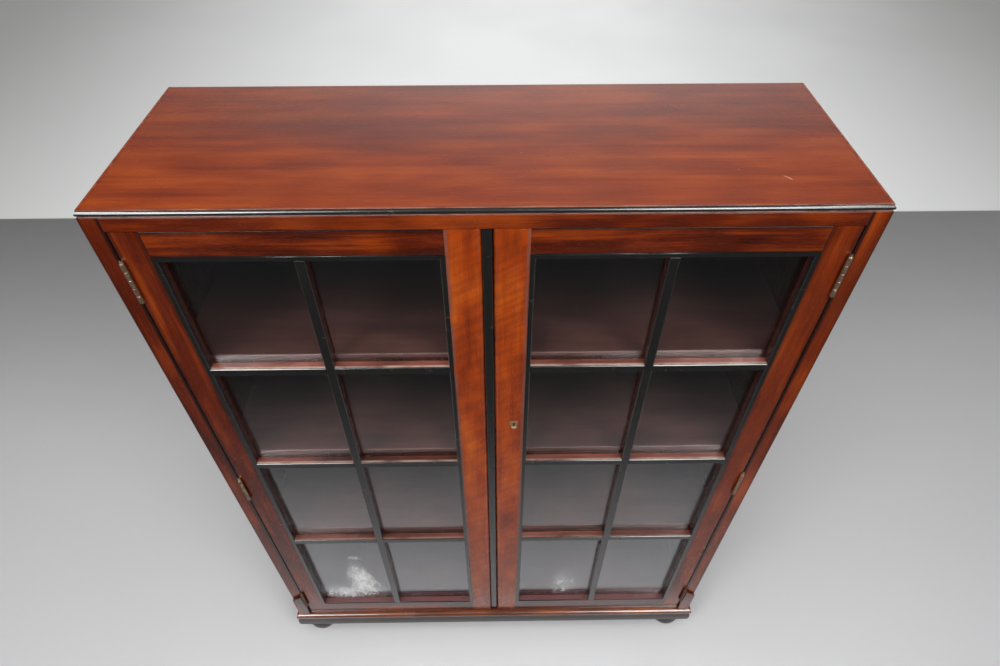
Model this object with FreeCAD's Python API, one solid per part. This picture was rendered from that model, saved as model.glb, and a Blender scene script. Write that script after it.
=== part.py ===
import FreeCAD, Part
import math
import os

# A mahogany bookcase with two glazed doors, ebonised mouldings and bun feet.
# Millimetres, +Z up, +X to the right seen from the front, and the front faces -Y.
# The origin is on the floor, at the middle of the plan outline.
# Depths are measured back from the carcase front, the plane of the closed doors.

# ---- Carcase
carcase_width = 1000.0
carcase_depth = 333.0
side_thickness = 20.0
front_stile_width = 26.0
top_rail_height = 19.8
bottom_rail_height = 7.5
bottom_board_thickness = 20.0
top_board_tongue = 10.5       # what of the top board drops between the sides
back_thickness = 8.0
back_rebate_width = 10.0
arris_radius = 1.2            # softened front edges
stop_height = 16.5            # batten behind the top rail, which the doors close against
stop_depth = 14.0

# ---- Reeded edge band round the top board
band_height = 10.5
band_thickness = 6.0
band_fillet_height = 1.6
band_fillet_setback = 2.2

# ---- Plinth and feet
plinth_projection = 11.0
nosing_thickness = 17.0
nosing_width = 40.0
plinth_board_height = 35.0
plinth_board_thickness = 20.0
plinth_board_crown = 1.8      # how far the middle of the face stands out from its edges
quirk_height = 2.0            # groove between the plinth board and the nosing
quirk_depth = 3.0
corner_block_size = 70.0
foot_height = 50.0
foot_diameter = 76.0
foot_neck_height = 6.0
foot_inset = 37.0             # foot centre in from the carcase side
foot_setback = 30.0           # foot centre back from the carcase front

# ---- Blocks at the foot of the front stiles
base_block_projection = 6.0
base_block_height = 111.0
base_block_slope = 22.0       # its top falls this much towards the outside

# ---- Doors
door_height = 1205.7
door_thickness = 22.0
door_gap = 1.5                # at the hinge side and below
door_top_gap = 1.0
door_stop_gap = 0.3
hinge_stile_show = 40.0       # wood in view outside the ebonised moulding
meeting_stile_show = 48.1
top_rail_show = 39.8
bottom_rail_show = 45.4
meeting_edge_radius = 8.0
tenon_thickness = 8.0
tenon_length = 30.0
tenon_shoulder = 9.0
tenon_wall = 1.0              # wood between a tenon and the glass rebate

# ---- Meeting strip on the left door
strip_width = 12.6
strip_clearance = 1.2
strip_short = 14.0            # it ends this far above the bottom of the doors

# ---- Glazing
moulding_width = 7.0          # ebonised flat round the opening, half as wide as those on the bars
bar_width = 14.0
facing_thickness = 2.0
facing_chamfer = 0.9
bevel_run = 0.5
bevel_depth = 12.5
bar_rib = 5.0
glass_thickness = 2.0
glass_clearance = 0.6
bead_depth = 6.0
bead_width = 4.6
bead_mitre_gap = 0.1          # the beads are cut this much short at each end
row_heights = (211.1, 246.4, 283.4)   # glass in view between the flats, from the top down

# ---- Shelves
shelf_thickness = 18.0
shelf_setback = 26.0
shelf_back_gap = 0.3
shelf_nose_radius = 3.0
shelf_housing_depth = 7.0     # the ends of the shelves are let into the sides by this

# ---- Hinges, three to a door
hinge_length = 70.0
hinge_leaf_width = 18.0
hinge_leaf_thickness = 1.4
hinge_axis_inset = 3.4        # the pin stands this much on the door's side of the stile
knuckle_radius = 4.0
knuckle_stand_off = 0.3       # knuckle clear of the faces behind it
knuckle_count = 3
knuckle_gap = 0.2
hinge_pin_radius = 1.5
hinge_end_distance = 80.0     # hinge middles in from the top and bottom of the door
hinge_relief = 1.0            # clearance beside and above the low hinge in the base block
running_clearance = 0.05      # radial, round the hinge pins and the bolts

# ---- Lock on the right door
keyhole_height = 799.0        # above the bottom of the door
lock_backset = 32.0
lock_case_width = 43.0
lock_case_height = 46.0
lock_case_depth = 11.0
selvedge_thickness = 1.5
selvedge_width = 12.0
selvedge_length = 62.0
lock_bolt_height = 16.0
lock_bolt_thickness = 5.0
lock_bolt_length = 30.0
lock_bolt_rise = 9.0          # bolt middle above the keyhole
lock_bolt_throw = 9.5
lock_bolt_clearance = 0.15
talon_width = 6.0
talon_depth = 4.0
keyhole_radius = 2.2
keyhole_slot_width = 2.2
keyhole_drop = 6.0
escutcheon_width = 8.0
escutcheon_drop = 3.5         # its lower half circle is this far under the upper one
escutcheon_proud = 0.6
escutcheon_let_in = 2.0
strike_length = 50.0
strike_width = 12.0
strike_thickness = 1.2
strike_clearance = 0.4

# ---- Bolts on the back of the left door
bolt_radius = 3.0
bolt_travel = 10.0
bolt_stand_off = 7.0          # rod centre behind the door
bolt_distance = 35.0          # rod centre from the middle of the bookcase
bolt_plate_width = 26.0
bolt_plate_thickness = 1.5
bolt_guide_width = 12.0
bolt_guide_length = 9.0
bolt_guide_back = 4.5         # guide beyond the rod centre
bolt_tail = 5.0
bolt_end_gap = 1.0
knob_radius = 2.5
knob_length = 11.0
keeper_width = 26.0
keeper_thickness = 1.5
keeper_clearance = 1.0        # round the bolt in its mortise
keeper_hole_depth = 13.0

# ---- Places that follow from the sizes
X_AXIS = FreeCAD.Vector(1, 0, 0)
Y_AXIS = FreeCAD.Vector(0, 1, 0)
Z_AXIS = FreeCAD.Vector(0, 0, 1)
ORIGIN = FreeCAD.Vector(0, 0, 0)
overcut = 1.0                 # how far a cut starts outside the face that it opens

half_width = carcase_width / 2
side_inner_x = half_width - side_thickness
stile_inner_x = half_width - front_stile_width
front_y = plinth_projection / 2 - carcase_depth / 2
back_y = front_y + carcase_depth
frame_depth = door_thickness + door_stop_gap

nosing_bottom = foot_height + plinth_board_height + quirk_height
carcase_bottom = nosing_bottom + nosing_thickness
bottom_board_top = carcase_bottom + bottom_board_thickness
door_bottom = carcase_bottom + bottom_rail_height + door_gap
door_top = door_bottom + door_height
top_rail_bottom = door_top + door_top_gap
carcase_top = top_rail_bottom + top_rail_height
top_tongue_bottom = carcase_top - top_board_tongue
stop_bottom = top_tongue_bottom - stop_height

door_outer_x = stile_inner_x - door_gap
meeting_x = (strip_width + strip_clearance) / 2
keyhole_x = meeting_x + lock_backset
keyhole_z = door_bottom + keyhole_height
lock_bolt_z = keyhole_z + lock_bolt_rise

# The moulded opening of a door: its outer edge, its edge at the flats, and its glass side.
opening_x = (meeting_x + meeting_stile_show, door_outer_x - hinge_stile_show)
opening_z = (door_bottom + bottom_rail_show, door_top - top_rail_show)


def behind(depth):
    """The y of a plane this deep behind the carcase front."""
    return front_y + depth


def shrunk(span, margin):
    """A (low, high) span drawn in by a margin at both ends."""
    return (span[0] + margin, span[1] - margin)


def around(middle, width):
    """A (low, high) span of this width about its middle."""
    return (middle - width / 2, middle + width / 2)


flats_x = shrunk(opening_x, moulding_width)
flats_z = shrunk(opening_z, moulding_width)
sight_x = shrunk(flats_x, bevel_run)
sight_z = shrunk(flats_z, bevel_run)
glass_lip = bar_width / 2 + bevel_run - bar_rib / 2
rebate_x = shrunk(sight_x, -glass_lip)
rebate_z = shrunk(sight_z, -glass_lip)
upright_x = sum(opening_x) / 2
bead_front = bevel_depth + glass_thickness
rib_depth = bead_front + bead_depth


def cross_bar_heights():
    """Middles of the horizontal bars, from the top down."""
    heights = []
    top = flats_z[1]
    for row in row_heights:
        top -= row + bar_width
        heights.append(top + bar_width / 2)
    return heights


cross_bar_z = cross_bar_heights()
hinge_axis_x = stile_inner_x - hinge_axis_inset
hinge_axis_y = front_y - knuckle_radius - knuckle_stand_off
hinge_middles = (
    door_bottom + hinge_end_distance,
    door_bottom + door_height / 2,
    door_top - hinge_end_distance,
)


# ---- Shapes used by several pieces

def block(x, y, z):
    """A box given by its (low, high) limits along the three axes."""
    corner = FreeCAD.Vector(x[0], y[0], z[0])
    return Part.makeBox(x[1] - x[0], y[1] - y[0], z[1] - z[0], corner)


def arc(centre_x, centre_y, radius, start, end):
    """An outline step: through the middle of an arc to its end, angles in degrees."""
    def at(angle):
        turn = math.radians(angle)
        return (centre_x + radius * math.cos(turn), centre_y + radius * math.sin(turn))
    return (at((start + end) / 2), at(end))


def outline(start, *steps):
    """A closed flat face; a step is a point, or an arc's middle and end points."""
    edges = []
    here = FreeCAD.Vector(*start, 0)
    for step in steps:
        if isinstance(step[0], tuple):
            middle = FreeCAD.Vector(*step[0], 0)
            there = FreeCAD.Vector(*step[1], 0)
            edges.append(Part.Arc(here, middle, there).toShape())
        else:
            there = FreeCAD.Vector(*step, 0)
            edges.append(Part.LineSegment(here, there).toShape())
        here = there
    first = FreeCAD.Vector(*start, 0)
    if here.distanceToPoint(first) > 1e-6:
        edges.append(Part.LineSegment(here, first).toShape())
    return Part.Face(Part.Wire(edges))


def placed(shape, corner, across, outward):
    """Turn a shape drawn in X, Y, Z to lie along across, outward and their cross product."""
    turn = FreeCAD.Rotation(across, outward, across.cross(outward), "XYZ")
    moved = shape.copy()
    moved.Placement = FreeCAD.Placement(corner, turn)
    return moved


def moulding(section, width, length, mitred_start=True, mitred_end=True):
    """A length of moulding along Z with its section in X and Y, mitred towards +X."""
    start = width if mitred_start else 0.0
    end = length - width if mitred_end else length
    reach = 10 * width
    plan = outline((0, 0), (width, start), (width, end), (0, length))
    plan = placed(plan, FreeCAD.Vector(0, reach, 0), X_AXIS, Z_AXIS)
    trimmer = plan.extrude(FreeCAD.Vector(0, -2 * reach, 0))
    return section.extrude(FreeCAD.Vector(0, 0, length)).common(trimmer)


def mitred_frame(section, width, depth, x, z, short=0.0):
    """Four mitred strips round the inside of a rectangle that faces the front, cut short at their ends."""
    y = behind(depth)
    upright = moulding(section, width, z[1] - z[0] - 2 * short)
    level = moulding(section, width, x[1] - x[0] - 2 * short)
    return [
        placed(upright, FreeCAD.Vector(x[0], y, z[0] + short), X_AXIS, Y_AXIS),
        placed(level, FreeCAD.Vector(x[1] - short, y, z[0]), Z_AXIS, Y_AXIS),
        placed(upright, FreeCAD.Vector(x[1], y, z[1] - short), -X_AXIS, Y_AXIS),
        placed(level, FreeCAD.Vector(x[0] + short, y, z[1]), -Z_AXIS, Y_AXIS),
    ]


def front_and_returns(section, width, projection, bottom):
    """A front moulding and its two side returns, mitred at the front corners."""
    reach = half_width + projection
    front = front_y - projection
    face = moulding(section, width, 2 * reach)
    left = moulding(section, width, back_y - front, mitred_start=False)
    right = moulding(section, width, back_y - front, mitred_end=False)
    return [
        placed(face, FreeCAD.Vector(-reach, front, bottom), Y_AXIS, Z_AXIS),
        placed(left, FreeCAD.Vector(-reach, back_y, bottom), X_AXIS, Z_AXIS),
        placed(right, FreeCAD.Vector(reach, front, bottom), -X_AXIS, Z_AXIS),
    ]


def softened(shape, radius, **place):
    """Round the edges whose ends all lie at the given coordinates."""
    def lies_there(vertex):
        return all(abs(getattr(vertex, axis) - at) < 1e-6 for axis, at in place.items())
    edges = [edge for edge in shape.Edges if all(lies_there(end) for end in edge.Vertexes)]
    return shape.makeFillet(radius, edges)


def rod(radius, start, direction, length):
    """A cylinder from a start point along a direction."""
    return Part.makeCylinder(radius, length, FreeCAD.Vector(*start), direction)


def mirrored(shape):
    """The same piece on the left-hand side."""
    return shape.mirror(ORIGIN, X_AXIS)


def save(name, *shapes):
    """Write one node, each of its pieces a separate solid."""
    solids = [solid for shape in shapes for solid in shape.Solids]
    node = solids[0] if len(solids) == 1 else Part.makeCompound(solids)
    node.exportStep("parts/" + name + ".step")


# ---- Carcase pieces

def shelf_bottoms():
    """Undersides of the shelves, which sit level with the bars, from the top down."""
    return [z - shelf_thickness / 2 for z in cross_bar_z]


shelf_y = (behind(shelf_setback), back_y - back_thickness - shelf_back_gap)
shelf_x = shrunk((-side_inner_x, side_inner_x), -shelf_housing_depth)


def shelf_boards():
    """The shelves as plain boards, from the top down."""
    return [block(shelf_x, shelf_y, (z, z + shelf_thickness)) for z in shelf_bottoms()]


def side():
    """The right-hand side, rebated for the back and grooved for the shelves."""
    board = block((side_inner_x, half_width), (behind(frame_depth), back_y), (carcase_bottom, carcase_top))
    rebate = block(
        (side_inner_x, side_inner_x + back_rebate_width),
        (back_y - back_thickness, back_y),
        (carcase_bottom, carcase_top),
    )
    return board.cut([rebate] + shelf_boards())


def front_stile():
    """The right-hand upright on the front edge of the side, let in for the hinge leaves."""
    stile = block(
        (stile_inner_x, half_width), (front_y, behind(frame_depth)), (carcase_bottom, carcase_top))
    stile = softened(stile, arris_radius, X=half_width, Y=front_y)
    return stile.cut(leaf_recesses((stile_inner_x, stile_inner_x + hinge_leaf_thickness)))


def base_block():
    """The thickening at the foot of the right-hand stile, notched beside the low hinge."""
    inner_top = carcase_bottom + base_block_height
    face = outline(
        (stile_inner_x, carcase_bottom),
        (half_width, carcase_bottom),
        (half_width, inner_top - base_block_slope),
        (stile_inner_x, inner_top),
    )
    face = placed(face, FreeCAD.Vector(0, front_y, 0), X_AXIS, Z_AXIS)
    solid = face.extrude(-base_block_projection * Y_AXIS)
    notch = block(
        (stile_inner_x - overcut, hinge_axis_x + knuckle_radius + hinge_relief),
        (front_y - base_block_projection - overcut, front_y),
        around(hinge_middles[0], hinge_length + 2 * hinge_relief),
    )
    return solid.cut(notch)


def top_board():
    """The top, with a tongue that drops between the sides, top rail and back."""
    half = half_width - band_thickness
    plate = block((-half, half), (behind(band_thickness), back_y), (carcase_top, carcase_top + band_height))
    tongue = block(
        (-side_inner_x, side_inner_x),
        (behind(frame_depth), back_y - back_thickness),
        (top_tongue_bottom, carcase_top),
    )
    return plate.fuse(tongue)


def top_edge_band():
    """Two narrow fillets with a half-round bead between them."""
    low = band_fillet_height
    high = band_height - band_fillet_height
    bead_radius = (high - low) / 2
    section = outline(
        (band_thickness, 0),
        (band_thickness, band_height),
        (band_fillet_setback, band_height),
        (band_fillet_setback, high),
        (bead_radius, high),
        arc(bead_radius, band_height / 2, bead_radius, 90, 270),
        (band_fillet_setback, low),
        (band_fillet_setback, 0),
    )
    return front_and_returns(section, band_thickness, 0.0, carcase_top)


def bottom_board():
    """The floor of the bookcase, with the keeper of the lower bolt let in."""
    board = block(
        (-side_inner_x, side_inner_x),
        (behind(frame_depth), back_y - back_thickness),
        (carcase_bottom, bottom_board_top),
    )
    return board.cut([keeper_plate(bottom_board_top, -1), keeper_hole(bottom_board_top, -1)])


def door_stop():
    """The batten behind the top rail, with the keeper of the upper bolt let in."""
    batten = block(
        (-stile_inner_x, stile_inner_x),
        (behind(frame_depth), behind(frame_depth + stop_depth)),
        (stop_bottom, top_tongue_bottom),
    )
    return batten.cut([keeper_plate(stop_bottom, 1), keeper_hole(stop_bottom, 1)])


def keeper_hole(z, up):
    """The square mortise of a bolt in a board, from its face at z, upwards (1) or downwards (-1)."""
    width = 2 * (bolt_radius + keeper_clearance)
    depth = tuple(sorted((z, z + up * keeper_hole_depth)))
    return block(around(-bolt_distance, width), around(bolt_y, width), depth)


def keeper_plate(z, up):
    """The plate of a keeper without its hole, level with the face at z."""
    return block(
        around(-bolt_distance, keeper_width),
        (behind(frame_depth), behind(frame_depth + stop_depth)),
        tuple(sorted((z, z + up * keeper_thickness))),
    )


# ---- Plinth and feet

def plinth_nosing():
    """The half-round mahogany moulding that the carcase stands on."""
    radius = nosing_thickness / 2
    section = outline(
        (nosing_width, 0),
        (nosing_width, nosing_thickness),
        (radius, nosing_thickness),
        arc(radius, radius, radius, 90, 270),
    )
    return front_and_returns(section, nosing_width, plinth_projection, nosing_bottom)


def plinth_boards():
    """The ebonised plinth: a slightly rounded face under a narrow groove."""
    total = plinth_board_height + quirk_height
    crown = plinth_board_crown
    section = outline(
        (plinth_board_thickness, 0),
        (plinth_board_thickness, total),
        (quirk_depth, total),
        (quirk_depth, plinth_board_height),
        (crown, plinth_board_height),
        ((0, plinth_board_height / 2), (crown, 0)),
    )
    return front_and_returns(section, plinth_board_thickness, plinth_projection, foot_height)


plinth_inner_x = half_width + plinth_projection - plinth_board_thickness


def plinth_back_rail():
    """The plain rail that closes the plinth at the back."""
    rail = block(
        (-plinth_inner_x, plinth_inner_x),
        (back_y - plinth_board_thickness, back_y),
        (foot_height, nosing_bottom),
    )
    lift = block(
        shrunk((-half_width - plinth_projection, half_width + plinth_projection), nosing_width),
        (back_y - plinth_board_thickness, back_y),
        (nosing_bottom, carcase_bottom),
    )
    return rail.fuse(lift).removeSplitter()


foot_x = half_width - foot_inset
foot_ys = (behind(foot_setback), back_y - foot_setback - plinth_projection)


def corner_blocks():
    """Glued blocks inside the right-hand corners of the plinth, which the feet are fixed to."""
    x = (plinth_inner_x - corner_block_size, plinth_inner_x)
    front = front_y - plinth_projection + plinth_board_thickness
    back = back_y - plinth_board_thickness
    spans = ((front, front + corner_block_size), (back - corner_block_size, back))
    return [block(x, y, (foot_height, nosing_bottom)) for y in spans]


def foot(y):
    """A turned bun foot: a ball cut flat above and below, under a short neck."""
    ball = foot_diameter / 2
    neck_bottom = foot_height - foot_neck_height
    middle = neck_bottom / 2
    tilt = math.degrees(math.asin(middle / ball))
    neck = ball * math.cos(math.radians(tilt))
    section = outline(
        (0, 0),
        (neck, 0),
        arc(0, middle, ball, -tilt, tilt),
        (neck, foot_height),
        (0, foot_height),
    )
    section.rotate(ORIGIN, X_AXIS, 90)
    turned = section.revolve(ORIGIN, Z_AXIS, 360)
    turned.translate(FreeCAD.Vector(foot_x, y, 0))
    return turned


# ---- Hinges

def leaf_recesses(x):
    """The recesses for the hinge leaves in the wood over the span x."""
    y = (front_y - overcut, behind(hinge_leaf_width))
    return [block(x, y, around(z, hinge_length)) for z in hinge_middles]


def knuckle_spans(middle, first):
    """The z spans of every second knuckle of one hinge, from the first index."""
    pitch = hinge_length / knuckle_count
    bottom = middle - hinge_length / 2
    numbers = range(first, knuckle_count, 2)
    return [shrunk((bottom + n * pitch, bottom + (n + 1) * pitch), knuckle_gap / 2) for n in numbers]


def hinge_leaf(middle, x, first):
    """A leaf over the span x with its rolled knuckles, on the right-hand door's axis."""
    leaf_y = (behind(knuckle_stand_off), behind(hinge_leaf_width))
    neck_y = (hinge_axis_y, behind(-knuckle_stand_off))
    parts = []
    for z in knuckle_spans(middle, first):
        parts.append(rod(knuckle_radius, (hinge_axis_x, hinge_axis_y, z[0]), Z_AXIS, z[1] - z[0]))
        parts.append(block((hinge_axis_x, x[1]), neck_y, z))
        parts.append(block(x, (hinge_axis_y, leaf_y[0]), z))
    return block(x, leaf_y, around(middle, hinge_length)).fuse(parts)


def frame_leaves():
    """The right-hand leaves let into the front stile, with the pins fast in their knuckles."""
    x = (stile_inner_x, stile_inner_x + hinge_leaf_thickness)
    leaves = []
    for middle in hinge_middles:
        start = (hinge_axis_x, hinge_axis_y, middle - hinge_length / 2 + knuckle_gap)
        pin = rod(hinge_pin_radius, start, Z_AXIS, hinge_length - 2 * knuckle_gap)
        leaves.append(hinge_leaf(middle, x, 0).fuse(pin).removeSplitter())
    return leaves


def door_leaves():
    """The right-hand leaves let into the edge of the door, bored for the pins."""
    x = (door_outer_x - hinge_leaf_thickness, door_outer_x)
    leaves = []
    for middle in hinge_middles:
        start = (hinge_axis_x, hinge_axis_y, middle - hinge_length / 2)
        bore = rod(hinge_pin_radius + running_clearance, start, Z_AXIS, hinge_length)
        leaves.append(hinge_leaf(middle, x, 1).removeSplitter().cut(bore))
    return leaves


# ---- Doors, drawn as the right-hand one

def door_window():
    """What is cut out of a door: the splayed opening and the glass rebate behind it."""
    slope = bevel_run / bevel_depth
    wires = []
    for depth in (-overcut, bevel_depth):
        x = shrunk(flats_x, slope * depth)
        z = shrunk(flats_z, slope * depth)
        y = behind(depth)
        corners = [(x[0], z[0]), (x[1], z[0]), (x[1], z[1]), (x[0], z[1]), (x[0], z[0])]
        wires.append(Part.makePolygon([FreeCAD.Vector(a, y, b) for a, b in corners]))
    splay = Part.makeLoft(wires, True, True)
    rebate = block(rebate_x, (behind(bevel_depth), behind(door_thickness + overcut)), rebate_z)
    return splay.fuse(rebate)


window = door_window()
door_y = (front_y, behind(door_thickness))
tenon_y = around(behind(door_thickness / 2), tenon_thickness)
tenon_x = (opening_x[0] - tenon_length, opening_x[1] + tenon_length)
tenon_spans_z = (
    (door_bottom + tenon_shoulder, rebate_z[0] - tenon_wall),
    (rebate_z[1] + tenon_wall, door_top - tenon_shoulder),
)
shoulder_spans_z = ((door_bottom, opening_z[0]), (opening_z[1], door_top))


def rail_spaces():
    """What the stiles are cut away for: the shoulders and tenons of both rails."""
    shoulders = [block(opening_x, door_y, z) for z in shoulder_spans_z]
    tenons = [block(tenon_x, tenon_y, z) for z in tenon_spans_z]
    return shoulders + tenons


def hinge_stile():
    """The outer stile, cut for the window, the rails and the hinges."""
    stile = block((sight_x[1], door_outer_x), door_y, (door_bottom, door_top))
    stile = softened(stile, arris_radius, X=door_outer_x, Y=front_y)
    recesses = leaf_recesses((door_outer_x - hinge_leaf_thickness, door_outer_x))
    return stile.cut([window] + rail_spaces() + recesses)


def meeting_stile():
    """The inner stile, with its well rounded front edge."""
    stile = block((meeting_x, sight_x[0]), door_y, (door_bottom, door_top))
    stile = softened(stile, meeting_edge_radius, X=meeting_x, Y=front_y)
    return stile.cut([window] + rail_spaces())


def rail(z, shoulder_z, tenon_z):
    """A rail that meets the stiles at the outer edge of the moulding, with a tenon at each end."""
    body = block(sight_x, door_y, z).cut(window)
    shoulders = block(opening_x, door_y, shoulder_z)
    tenons = block(tenon_x, tenon_y, tenon_z)
    return body.fuse([shoulders, tenons]).removeSplitter()


def bar_section():
    """A glazing bar: a flat front, steep bevels and a thin rib between the panes."""
    flat = bar_width / 2
    lip = flat + bevel_run
    rib = bar_rib / 2
    return outline(
        (-flat, 0), (flat, 0), (lip, bevel_depth), (rib, bevel_depth),
        (rib, rib_depth), (-rib, rib_depth), (-rib, bevel_depth), (-lip, bevel_depth),
    )


def upright_bar():
    """The vertical bar, scribed to the splay of the rails."""
    length = rebate_z[1] - rebate_z[0]
    stick = bar_section().extrude(length * Z_AXIS)
    return placed(stick, FreeCAD.Vector(upright_x, front_y, rebate_z[0]), X_AXIS, Y_AXIS).common(window)


def cross_bars():
    """The horizontal bars, scribed to the stiles and to the upright bar."""
    length = rebate_x[1] - rebate_x[0]
    stick = bar_section().extrude(length * Z_AXIS)
    bars = []
    for z in cross_bar_z:
        long_bar = placed(stick, FreeCAD.Vector(rebate_x[1], front_y, z), Z_AXIS, Y_AXIS)
        bars.append(long_bar.common(window).cut(upright_bar()))
    return bars


def facing_section(width):
    """A thin flat strip with its two front edges taken off, standing in front of y = 0."""
    front = -facing_thickness
    edge = facing_chamfer
    return outline(
        (0, 0), (width, 0), (width, front + edge), (width - edge, front), (edge, front), (0, front + edge))


def opening_moulding():
    """The mitred ebonised flat round the glass."""
    return mitred_frame(facing_section(moulding_width), moulding_width, 0.0, opening_x, opening_z)


def bar_facings():
    """The ebonised flats on the bars: one upright and a pair on each cross bar."""
    section = facing_section(bar_width)
    half = bar_width / 2
    upright = section.extrude((flats_z[1] - flats_z[0]) * Z_AXIS)
    strips = [placed(upright, FreeCAD.Vector(upright_x - half, front_y, flats_z[0]), X_AXIS, Y_AXIS)]
    for x in ((flats_x[0], upright_x - half), (upright_x + half, flats_x[1])):
        level = section.extrude((x[1] - x[0]) * Z_AXIS)
        for z in cross_bar_z:
            strips.append(placed(level, FreeCAD.Vector(x[1], front_y, z - half), Z_AXIS, Y_AXIS))
    return strips


def glass_cells():
    """The x and z spans between the ribs and rebate walls, one for each pane."""
    rib = bar_rib / 2
    columns = ((rebate_x[0], upright_x - rib), (upright_x + rib, rebate_x[1]))
    tops = [rebate_z[1]] + [z - rib for z in cross_bar_z]
    bottoms = [z + rib for z in cross_bar_z] + [rebate_z[0]]
    return [(x, (low, high)) for low, high in zip(bottoms, tops) for x in columns]


def panes():
    """A pane in each cell, resting behind the bevelled lips."""
    y = (behind(bevel_depth), behind(bead_front))
    return [block(shrunk(x, glass_clearance), y, shrunk(z, glass_clearance)) for x, z in glass_cells()]


def glazing_beads():
    """Four mitred beads behind each pane."""
    section = outline((0, 0), (bead_width, 0), (bead_width, bead_depth), (0, bead_depth))
    beads = []
    for x, z in glass_cells():
        beads += mitred_frame(section, bead_width, bead_front, x, z, short=bead_mitre_gap)
    return beads


# ---- Lock of the right door

lock_case_y = (behind(door_thickness - lock_case_depth), behind(door_thickness))
lock_bolt_y = around(sum(lock_case_y) / 2, lock_bolt_thickness)
selvedge_y = (behind(door_thickness - selvedge_width), behind(door_thickness))


def keyhole(y):
    """The keyhole through a span of depths: a round hole with a slot under it."""
    depth = y[1] - y[0]
    hole = rod(keyhole_radius, (keyhole_x, y[0], keyhole_z), Y_AXIS, depth)
    slot = block(around(keyhole_x, keyhole_slot_width), y, (keyhole_z - keyhole_drop, keyhole_z))
    return hole.fuse(slot)


def lock_space():
    """The lock's case and edge plate as one plain solid."""
    case = block(
        (meeting_x, meeting_x + lock_case_width),
        lock_case_y,
        around(keyhole_z + lock_bolt_rise / 2, lock_case_height),
    )
    plate = block(
        (meeting_x, meeting_x + selvedge_thickness),
        selvedge_y,
        around(keyhole_z + lock_bolt_rise / 2, selvedge_length),
    )
    return case.fuse(plate).removeSplitter()


def lock_channel():
    """The way of the bolt through the case."""
    length = lock_bolt_length + 2 * lock_bolt_clearance
    return block(
        (meeting_x - overcut, meeting_x + length),
        shrunk(lock_bolt_y, -lock_bolt_clearance),
        around(lock_bolt_z, lock_bolt_height + 2 * lock_bolt_clearance),
    )


def lock_case():
    """The lock with its bolt channel and keyhole."""
    key_way = keyhole((lock_case_y[0] - overcut, lock_bolt_y[1]))
    return lock_space().cut([lock_channel(), key_way])


def lock_bolt():
    """The bolt, drawn back, with the notch that the key moves it by."""
    start = meeting_x + lock_bolt_clearance
    bar = block((start, start + lock_bolt_length), lock_bolt_y, around(lock_bolt_z, lock_bolt_height))
    bottom = lock_bolt_z - lock_bolt_height / 2
    talon = block(
        around(start + lock_bolt_length - 1.5 * talon_width, talon_width),
        lock_bolt_y,
        (bottom, bottom + talon_depth),
    )
    return bar.cut(talon)


def escutcheon_blank():
    """The plain oval of the escutcheon, standing a little proud of the stile."""
    radius = escutcheon_width / 2
    face = outline(
        (radius, 0),
        arc(0, 0, radius, 0, 180),
        (-radius, -escutcheon_drop),
        arc(0, -escutcheon_drop, radius, 180, 360),
    )
    face = placed(face, FreeCAD.Vector(keyhole_x, behind(escutcheon_let_in), keyhole_z), X_AXIS, Z_AXIS)
    return face.extrude(-(escutcheon_let_in + escutcheon_proud) * Y_AXIS)


def strike_plate():
    """The plate let into the meeting strip, with the hole that the bolt enters."""
    right = meeting_x - strip_clearance
    plate = block(
        (right - strike_thickness, right),
        (behind(door_thickness - strike_width), behind(door_thickness)),
        around(lock_bolt_z, strike_length),
    )
    return plate


def strike_hole():
    """The room for the thrown bolt in the strike plate and meeting strip."""
    right = meeting_x - strip_clearance
    depth = lock_bolt_throw - strip_clearance + 2 * strike_clearance
    return block(
        (right - depth, right + overcut),
        shrunk(lock_bolt_y, -strike_clearance),
        around(lock_bolt_z, lock_bolt_height + 2 * strike_clearance),
    )


# ---- Fittings of the left door, drawn in place

def meeting_strip():
    """The ebonised strip on the edge of the left door, which closes the gap between the doors."""
    strip = block(
        (-meeting_x, meeting_x - strip_clearance),
        door_y,
        (door_bottom + strip_short, door_top),
    )
    for x in (-meeting_x, meeting_x - strip_clearance):
        strip = softened(strip, arris_radius, X=x, Y=front_y)
    return strip.cut([strike_plate(), strike_hole()])


guide_gap = 2 * knob_radius + bolt_travel + bolt_end_gap
bolt_plate_length = guide_gap + 2 * bolt_guide_length
bolt_y = behind(door_thickness + bolt_stand_off)


def bolt_case(z, up):
    """A bolt's plate and two guides; its outer end is at z and it shoots up (1) or down (-1)."""
    def span(start, length):
        return tuple(sorted((z - up * start, z - up * (start + length))))
    plate = block(
        around(-bolt_distance, bolt_plate_width),
        (behind(door_thickness), behind(door_thickness + bolt_plate_thickness)),
        span(0, bolt_plate_length),
    )
    guides = [
        block(
            around(-bolt_distance, bolt_guide_width),
            (behind(door_thickness + bolt_plate_thickness), bolt_y + bolt_guide_back),
            span(start, bolt_guide_length),
        )
        for start in (0, bolt_plate_length - bolt_guide_length)
    ]
    start = (-bolt_distance, bolt_y, z + up * overcut)
    bore = rod(bolt_radius + running_clearance, start, -up * Z_AXIS, bolt_plate_length + 2 * overcut)
    return plate.fuse(guides).removeSplitter().cut(bore)


def bolt(z, up):
    """A round bolt with its knob, drawn back; its case ends at z."""
    tip = z + up * bolt_end_gap / 2
    length = bolt_plate_length + bolt_end_gap / 2 + bolt_tail
    shaft = rod(bolt_radius, (-bolt_distance, bolt_y, tip), -up * Z_AXIS, length)
    knob_z = z - up * (bolt_plate_length - bolt_guide_length - knob_radius - bolt_end_gap / 2)
    knob = rod(knob_radius, (-bolt_distance, bolt_y, knob_z), Y_AXIS, knob_length)
    return shaft.fuse(knob)


upper_bolt_end = stop_bottom - bolt_end_gap
lower_bolt_end = bottom_board_top + bolt_end_gap
bolt_ends = ((upper_bolt_end, 1), (lower_bolt_end, -1))


# ---- Write the nodes

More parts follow.
